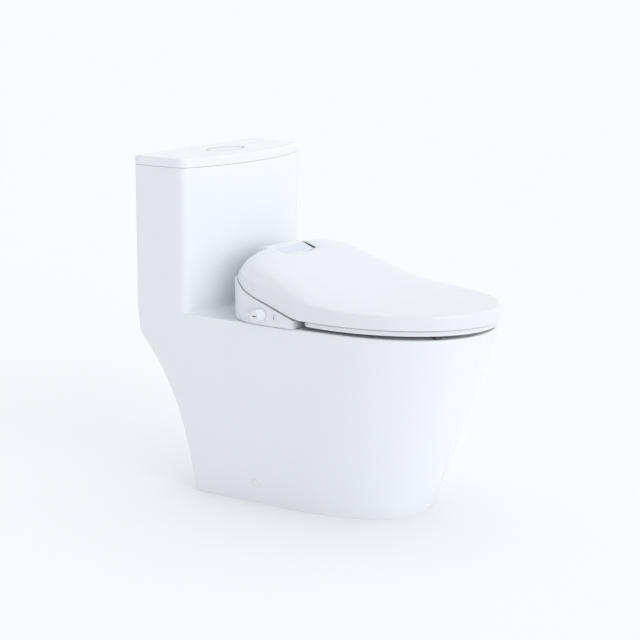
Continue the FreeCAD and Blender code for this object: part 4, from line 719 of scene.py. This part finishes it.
def tower_rise(y):
    """The tower's top: its line averaged over 3 mm each way, rounded off at both ends.

    An end's rounding takes off r(1 - sqrt(1 - (1 - t)^2)), where t runs to 1 over r.
    """
    rise = sum(line_height(TOWER_LINE, y + shift) for shift in (-3, -1.5, 0, 1.5, 3)) / 5
    for reach, gap in ((START_ROUND, y - TOWER_START), (TOWER_ROUND, TOWER_END - y)):
        t = np.clip(gap / reach, 0, 1)
        rise = rise - reach * (1 - np.sqrt(1 - (1 - t) ** 2))
    return rise


def unit_top_skin():
    """A low deck under the lid and the tower that carries the hinge, each a closed shell."""
    skin = Skin()
    loop = unit_loop(DECK_INSET)
    y = loop[:, 1]
    normal = outward(loop)
    top = line_height(DECK_LINE, y)
    plan = loop - normal * DECK_ROUND
    start, end = lifted(loop, top - DECK_ROUND), lifted(plan, line_height(DECK_LINE, plan[:, 1]))
    skin.rows([lifted(loop, line_height(LEDGE, y))] + rounded(start, lifted(loop, top), end, 5))
    skin.fill([plan], lambda a, b: line_height(DECK_LINE, b), 9.0)
    skin.fill([loop], lambda a, b: line_height(LEDGE, b), 9.0)

    # stations from front to back, with the status panel's recess between two close pairs
    to_end = (1 - np.linspace(0, 1, 9)) ** 2
    along = np.concatenate([TOWER_START + np.linspace(0, START_ROUND, 7),
                            np.linspace(-105, 11.9, 60), [PANEL_FRONT - STEP, PANEL_FRONT],
                            np.linspace(13, 36, 12), [PANEL_REAR, PANEL_REAR + STEP],
                            np.linspace(37, 77, 30), TOWER_END - TOWER_ROUND * to_end])
    turn = np.radians(np.linspace(0, 90, 7))
    edge = np.concatenate([[PANEL_HALF, PANEL_HALF + STEP],
                           TOWER_HALF - TOWER_ROUND + TOWER_ROUND * np.sin(turn), [TOWER_HALF]])
    drop = np.concatenate([[0, 0], TOWER_ROUND - TOWER_ROUND * np.cos(turn), [0]])
    rows = []
    for place in along:
        rise = tower_rise(place) - drop
        rise[-1] = line_height(LEDGE, place)
        if PANEL_FRONT <= place <= PANEL_REAR:
            rise[0] -= PANEL_DEEP
        right = np.stack([edge, np.full(len(edge), place), rise], 1)
        rows.append(np.concatenate([right, (right * [-1, 1, 1])[::-1]]))
    skin.rows(rows)
    for row in (rows[0], rows[-1]):
        cap = Skin()
        cap.fill([row[:, [0, 2]]], lambda a, b: np.full(len(a), row[0, 1]))
        skin.add(cap.points[0][:, [0, 2, 1]], cap.faces)
    return skin


# ---------------------------------------------------------------- finishes
def link(tree, start, end):
    """Joins an output socket to an input socket."""
    tree.links.new(start, end)


def new_group(name, inputs, outputs):
    """An empty shader node group with named sockets, each input with its default."""
    group = bpy.data.node_groups.new(name, "ShaderNodeTree")
    for label, kind, default in inputs:
        socket = group.interface.new_socket(label, in_out="INPUT", socket_type=kind)
        if default is not None:
            socket.default_value = default
    for label, kind in outputs:
        group.interface.new_socket(label, in_out="OUTPUT", socket_type=kind)
    return group, group.nodes.new("NodeGroupInput"), group.nodes.new("NodeGroupOutput")


def mottle_group():
    """Soft cloudy change between two colours and two roughnesses, over the piece itself."""
    group, start, end = new_group(
        "Cloudy Finish",
        [("Scale", "NodeSocketFloat", 8.0), ("Colour A", "NodeSocketColor", None),
         ("Colour B", "NodeSocketColor", None), ("Smooth", "NodeSocketFloat", 0.1),
         ("Rough", "NodeSocketFloat", 0.2)],
        [("Colour", "NodeSocketColor"), ("Roughness", "NodeSocketFloat")])
    place = group.nodes.new("ShaderNodeTexCoord")
    noise = group.nodes.new("ShaderNodeTexNoise")
    noise.inputs["Detail"].default_value = 4.0
    fine = group.nodes.new("ShaderNodeTexNoise")
    fine.inputs["Detail"].default_value = 3.0
    bigger = group.nodes.new("ShaderNodeMath")
    bigger.operation = "MULTIPLY"
    bigger.inputs[1].default_value = 9.0
    tint = group.nodes.new("ShaderNodeMix")
    tint.data_type = "RGBA"
    rough = group.nodes.new("ShaderNodeMapRange")
    rough.inputs["From Min"].default_value = 0.3
    rough.inputs["From Max"].default_value = 0.7
    link(group, place.outputs["Object"], noise.inputs["Vector"])
    link(group, place.outputs["Object"], fine.inputs["Vector"])
    link(group, start.outputs["Scale"], noise.inputs["Scale"])
    link(group, start.outputs["Scale"], bigger.inputs[0])
    link(group, bigger.outputs[0], fine.inputs["Scale"])
    link(group, noise.outputs["Fac"], tint.inputs["Factor"])
    link(group, start.outputs["Colour A"], tint.inputs["A"])
    link(group, start.outputs["Colour B"], tint.inputs["B"])
    link(group, fine.outputs["Fac"], rough.inputs["Value"])
    link(group, start.outputs["Smooth"], rough.inputs["To Min"])
    link(group, start.outputs["Rough"], rough.inputs["To Max"])
    link(group, tint.outputs["Result"], end.inputs["Colour"])
    link(group, rough.outputs["Result"], end.inputs["Roughness"])
    return group


def relief_group():
    """A fine uneven surface: noise stretched by a vector, as a bump."""
    group, start, end = new_group(
        "Fine Relief",
        [("Scale", "NodeSocketFloat", 300.0), ("Stretch", "NodeSocketVector", (1, 1, 1)),
         ("Depth", "NodeSocketFloat", 0.0001)],
        [("Normal", "NodeSocketVector")])
    place = group.nodes.new("ShaderNodeTexCoord")
    scaled = group.nodes.new("ShaderNodeVectorMath")
    scaled.operation = "MULTIPLY"
    noise = group.nodes.new("ShaderNodeTexNoise")
    noise.inputs["Detail"].default_value = 3.0
    bump = group.nodes.new("ShaderNodeBump")
    bump.inputs["Strength"].default_value = 1.0
    link(group, place.outputs["Object"], scaled.inputs[0])
    link(group, start.outputs["Stretch"], scaled.inputs[1])
    link(group, scaled.outputs[0], noise.inputs["Vector"])
    link(group, start.outputs["Scale"], noise.inputs["Scale"])
    link(group, noise.outputs["Fac"], bump.inputs["Height"])
    link(group, start.outputs["Depth"], bump.inputs["Distance"])
    link(group, bump.outputs["Normal"], end.inputs["Normal"])
    return group


GROUPS = {}


def finish(name, colour, second, smooth_rough, scale, relief, stretch=(1, 1, 1), metal=0.0,
           coat=0.0, coat_rough=0.05):
    """A material from the two groups, with plain numbers on the shader's own sockets.

    The pair of roughnesses goes with the cloudy group's scale, and relief is (scale, depth).
    """
    found = bpy.data.materials.get(name)
    if found:
        return found
    material = bpy.data.materials.new(name)
    material.use_nodes = True
    tree = material.node_tree
    shader = tree.nodes["Principled BSDF"]
    cloudy = tree.nodes.new("ShaderNodeGroup")
    cloudy.node_tree = GROUPS["cloudy"]
    cloudy.inputs["Scale"].default_value = scale
    cloudy.inputs["Colour A"].default_value = (*colour, 1)
    cloudy.inputs["Colour B"].default_value = (*second, 1)
    cloudy.inputs["Smooth"].default_value, cloudy.inputs["Rough"].default_value = smooth_rough
    fine = tree.nodes.new("ShaderNodeGroup")
    fine.node_tree = GROUPS["relief"]
    fine.inputs["Scale"].default_value, fine.inputs["Depth"].default_value = relief
    fine.inputs["Stretch"].default_value = stretch
    link(tree, cloudy.outputs["Colour"], shader.inputs["Base Color"])
    link(tree, cloudy.outputs["Roughness"], shader.inputs["Roughness"])
    link(tree, fine.outputs["Normal"], shader.inputs["Normal"])
    shader.inputs["Metallic"].default_value = metal
    shader.inputs["IOR"].default_value = GLOSS_INDEX
    shader.inputs["Coat Weight"].default_value = coat
    shader.inputs["Coat Roughness"].default_value = coat_rough
    return material


def tinted(colour, change):
    """A colour with each part raised by the change, kept between 0 and 1."""
    return tuple(min(1.0, max(0.0, part + change)) for part in colour)


def finishes():
    """Every material, by the record's slot."""
    looks = bpy.context.scene.toilet_looks
    glaze, seat, unit = tuple(looks.glaze), tuple(looks.seat), tuple(looks.unit)
    inner = (0.62, 0.64, 0.67)
    return {
        "china": finish("Glazed china", glaze, tinted(glaze, -0.012), (0.05, 0.11), 3.5,
                        (38.0, 0.00008), coat=0.5, coat_rough=0.03),
        "seat_plastic": finish("Seat moulding", seat, tinted(seat, -0.01), (0.21, 0.25), 7.0,
                               (500.0, 0.000001), coat=0.15, coat_rough=0.12),
        "unit_plastic": finish("Unit moulding", unit, tinted(unit, -0.012), (0.25, 0.27), 8.0,
                               (1100.0, 0.0000002), coat=0.1, coat_rough=0.15),
        "trim": finish("White cap", tinted(unit, 0.01), tinted(unit, -0.005), (0.21, 0.23), 14.0,
                       (1100.0, 0.0000002), coat=0.15, coat_rough=0.1),
        "panel": finish("Pale panel", tuple(looks.panel), tinted(looks.panel, -0.02),
                        (0.04, 0.08), 20.0, (60.0, 0.00001), coat=0.8, coat_rough=0.02),
        "inner_plastic": finish("Inner moulding", inner, tinted(inner, -0.05), (0.42, 0.55), 25.0,
                                (700.0, 0.00003)),
        "dark_plastic": finish("Dark moulding", (0.03, 0.03, 0.035), (0.05, 0.05, 0.055),
                               (0.4, 0.55), 25.0, (700.0, 0.00003)),
        "rubber": finish("Dark rubber", (0.10, 0.10, 0.11), (0.07, 0.07, 0.08), (0.55, 0.7), 30.0,
                         (1400.0, 0.00004)),
        "steel": finish("Brushed steel", (0.62, 0.63, 0.65), (0.52, 0.53, 0.55), (0.22, 0.38),
                        40.0, (260.0, 0.00003), (1.0, 14.0, 14.0), metal=1.0),
        "brass": finish("Plain brass", (0.66, 0.49, 0.21), (0.55, 0.40, 0.16), (0.25, 0.42), 60.0,
                        (500.0, 0.00002), metal=1.0),
        "board": finish("Board laminate", (0.02, 0.16, 0.06), (0.03, 0.24, 0.09), (0.3, 0.42),
                        220.0, (900.0, 0.00006), coat=0.3),
    }


def dress_nodes(names):
    """Gives carried-over nodes the finish of their slot."""
    materials = finishes()
    for name in names:
        node = NODES[name]
        material = materials[SLOT_OF[name]]
        if node.material_slots:
            for holder in node.material_slots:
                holder.link = "OBJECT"
                holder.material = material
        else:
            node.data.materials.append(material)
        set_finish(node, SLOT_OF[name])


# ---------------------------------------------------------------- settings
class ToiletSizes(bpy.types.PropertyGroup):
    """Roundings of the china and the lids"""
    rim_round: bpy.props.FloatProperty(
        name="Rim rounding", description="Radius of the china rim's outer edge, in mm",
        default=5.0, min=1.0, max=6.0)
    base_round: bpy.props.FloatProperty(
        name="Tank foot rounding", description="Hollow radius where the tank meets the deck, in mm",
        default=16.0, min=3.0, max=30.0)
    lid_round: bpy.props.FloatProperty(
        name="Tank lid rounding", description="Radius of the tank lid's top edge, in mm",
        default=6.0, min=1.0, max=10.0)
    cover_round: bpy.props.FloatProperty(
        name="Lid rounding", description="Rounding of the lid's front edge, in mm",
        default=7.0, min=2.0, max=12.0)
    cheek_round: bpy.props.FloatProperty(
        name="Lid cheek rounding", description="Rounding from the lid's top to its cheeks, in mm",
        default=20.0, min=2.0, max=30.0)


class ToiletLooks(bpy.types.PropertyGroup):
    """Colours of the object and the floor"""
    glaze: bpy.props.FloatVectorProperty(
        name="Glaze", description="Colour of the glazed china", subtype="COLOR", size=3,
        default=(0.86, 0.875, 0.90), min=0, max=1)
    seat: bpy.props.FloatVectorProperty(
        name="Seat", description="Colour of the lid and seat mouldings", subtype="COLOR", size=3,
        default=(0.815, 0.828, 0.852), min=0, max=1)
    unit: bpy.props.FloatVectorProperty(
        name="Unit", description="Colour of the washing unit", subtype="COLOR", size=3,
        default=(0.815, 0.828, 0.852), min=0, max=1)
    panel: bpy.props.FloatVectorProperty(
        name="Status panel", description="Colour of the status panel", subtype="COLOR", size=3,
        default=(0.70, 0.74, 0.80), min=0, max=1)
    floor: bpy.props.FloatVectorProperty(
        name="Floor", description="Colour of the floor", subtype="COLOR", size=3,
        default=(0.965, 0.965, 0.965), min=0, max=1)


# ---------------------------------------------------------------- operators
class TOILET_OT_china(bpy.types.Operator):
    """Builds the one-piece china and finishes the fixings at its foot"""
    bl_idname = "toilet.add_china"
    bl_label = "China"

    def execute(self, context):
        sizes = context.scene.toilet_sizes
        make_piece("china", china_skin(sizes.rim_round, sizes.base_round), "china_body", "china",
                   40.0)
        dress_nodes(["bolt_caps", "outlet_seal", "floor_brackets", "side_fixing_screws"])
        return {"FINISHED"}


class TOILET_OT_tank_lid(bpy.types.Operator):
    """Builds the tank lid and finishes its flush button"""
    bl_idname = "toilet.add_tank_lid"
    bl_label = "Tank Lid"

    def execute(self, context):
        sizes = context.scene.toilet_sizes
        make_piece("tank_cover", tank_lid_skin(sizes.lid_round), "tank_lid", "china", 40.0)
        dress_nodes(["flush_bezel", "bezel_clip", "flush_button"])
        return {"FINISHED"}


class TOILET_OT_cover(bpy.types.Operator):
    """Builds the soft-closing lid with its hinge ears"""
    bl_idname = "toilet.add_cover"
    bl_label = "Lid"

    def execute(self, context):
        sizes = context.scene.toilet_sizes
        skin = cover_skin(sizes.cover_round, sizes.cheek_round)
        for start in (EAR_START, -EAR_START - EAR_THICK):
            plate_skin(skin, ear_outline(EAR_START + EAR_THICK / 2), start, EAR_THICK, 0.3)
        make_piece("seat_lid", skin, "lid_shell", "seat_plastic", 38.0)
        dress_nodes(["lid_bumpers"])
        return {"FINISHED"}


class TOILET_OT_seat(bpy.types.Operator):
    """Builds the heated seat: its ring with the hinge arms, and the tray under it"""
    bl_idname = "toilet.add_seat"
    bl_label = "Seat"

    def execute(self, context):
        skin = seat_skin(404.0, 414.6, 421.0, hollow=5.0)
        for start in (ARM_START, -ARM_START - ARM_THICK):
            plate_skin(skin, arm_outline(), start, ARM_THICK)
        make_piece("seat_ring", skin, "seat_top_shell", "seat_plastic", 38.0)
        under = seat_skin(404.2, 406.0, 407.4, inset=3.15)
        make_piece("seat_tray", under, "seat_bottom_shell", "seat_plastic", 38.0)
        dress_nodes(["seat_bumpers", "seat_heater"])
        return {"FINISHED"}


class TOILET_OT_unit(bpy.types.Operator):
    """Builds the washing unit's top and finishes its base, status panel and side controls"""
    bl_idname = "toilet.add_unit"
    bl_label = "Washing Unit"

    def execute(self, context):
        make_piece("unit_top", unit_top_skin(), "unit_cover", "unit_plastic", 30.0)
        dress_nodes(["unit_base", "status_panel", "filter_drain_knob", "water_inlet",
                     "release_button", "power_gland"])
        return {"FINISHED"}


class TOILET_OT_inner_parts(bpy.types.Operator):
    """Finishes every other carried-over part by its slot"""
    bl_idname = "toilet.finish_inner_parts"
    bl_label = "Inner Parts"

    def execute(self, context):
        dress_nodes([name for name in sorted(NODES) if "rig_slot" not in NODES[name]
                     and not NODES[name].hide_render])
        return {"FINISHED"}


def sun(name, source, strength, spread):
    """A distant soft light that shines from a direction; its spread is in degrees."""
    lamp = bpy.data.lights.new(name, "SUN")
    lamp.energy, lamp.angle = strength, math.radians(spread)
    holder = bpy.data.objects.new(name, lamp)
    holder.rotation_euler = Vector(source).to_track_quat("Z", "Y").to_euler()
    bpy.context.scene.collection.objects.link(holder)


def soft_room(level, lean):
    """A pale world whose strength in a direction d is level + lean . d."""
    world = bpy.data.worlds.new("Soft room")
    world.use_nodes = True
    tree = world.node_tree
    place = tree.nodes.new("ShaderNodeTexCoord")
    along = tree.nodes.new("ShaderNodeVectorMath")
    along.operation = "DOT_PRODUCT"
    along.inputs[1].default_value = lean
    total = tree.nodes.new("ShaderNodeMath")
    total.operation = "ADD"
    total.inputs[1].default_value = level
    sky = tree.nodes["Background"]
    sky.inputs["Color"].default_value = (0.93, 0.96, 1.0, 1)
    link(tree, place.outputs["Generated"], along.inputs[0])
    link(tree, along.outputs["Value"], total.inputs[0])
    link(tree, total.outputs[0], sky.inputs["Strength"])
    return world


class TOILET_OT_stage(bpy.types.Operator):
    """Lays the floor, the soft lights and the camera"""
    bl_idname = "toilet.add_stage"
    bl_label = "Stage"

    def execute(self, context):
        looks = context.scene.toilet_looks
        floor = bpy.data.meshes.new("floor")
        floor.from_pydata([(across * FLOOR_REACH, along * FLOOR_REACH, 0) for across, along in (
            (-1, -1), (1, -1), (1, 1), (-1, 1))], [], [(0, 1, 2, 3)])
        floor.materials.append(finish("Pale floor", tuple(looks.floor),
                                      tinted(looks.floor, -0.004), (0.7, 0.8), 0.4,
                                      (40.0, 0.00001)))
        ground = bpy.data.objects.new("floor", floor)
        context.scene.collection.objects.link(ground)
        context.scene.world = soft_room(0.87, (0.2, -0.05, 0.0))
        sun("key", (-0.25, -1.0, 0.35), 0.75, 50.0)
        sun("top", (0.0, 0.2, 1.0), 0.30, 60.0)
        context.scene.view_settings.view_transform = "Standard"
        lens = bpy.data.cameras.new("camera")
        lens.lens, lens.sensor_width = FOCAL, SENSOR
        lens.clip_end = VIEW_REACH
        camera = bpy.data.objects.new("camera", lens)
        camera.location = CAMERA_AT
        gaze = Vector(CAMERA_AIM) - camera.location
        camera.rotation_euler = gaze.to_track_quat("-Z", "Y").to_euler()
        context.scene.collection.objects.link(camera)
        context.scene.camera = camera
        return {"FINISHED"}


class TOILET_PT_panel(bpy.types.Panel):
    """Lists the toilet's pieces, sizes and colours"""
    bl_idname = "TOILET_PT_panel"
    bl_label = "Toilet"
    bl_space_type = "VIEW_3D"
    bl_region_type = "UI"
    bl_category = "Toilet"

    def draw(self, context):
        column = self.layout.column(align=True)
        for operator in OPERATORS:
            column.operator(operator.bl_idname)
        for holder in (context.scene.toilet_sizes, context.scene.toilet_looks):
            for name in holder.__annotations__:
                column.prop(holder, name)


OPERATORS = (TOILET_OT_china, TOILET_OT_tank_lid, TOILET_OT_cover, TOILET_OT_seat,
             TOILET_OT_unit, TOILET_OT_inner_parts, TOILET_OT_stage)
CLASSES = (ToiletSizes, ToiletLooks) + OPERATORS + (TOILET_PT_panel,)


def register():
    for item in CLASSES:
        bpy.utils.register_class(item)
    bpy.types.Scene.toilet_sizes = bpy.props.PointerProperty(type=ToiletSizes)
    bpy.types.Scene.toilet_looks = bpy.props.PointerProperty(type=ToiletLooks)


def unregister():
    del bpy.types.Scene.toilet_looks
    del bpy.types.Scene.toilet_sizes
    for item in reversed(CLASSES):
        bpy.utils.unregister_class(item)


def main():
    register()
    GROUPS["cloudy"] = mottle_group()
    GROUPS["relief"] = relief_group()
    for operator in OPERATORS:
        place, name = operator.bl_idname.split(".")
        getattr(getattr(bpy.ops, place), name)()


if __name__ == "__main__":
    main()
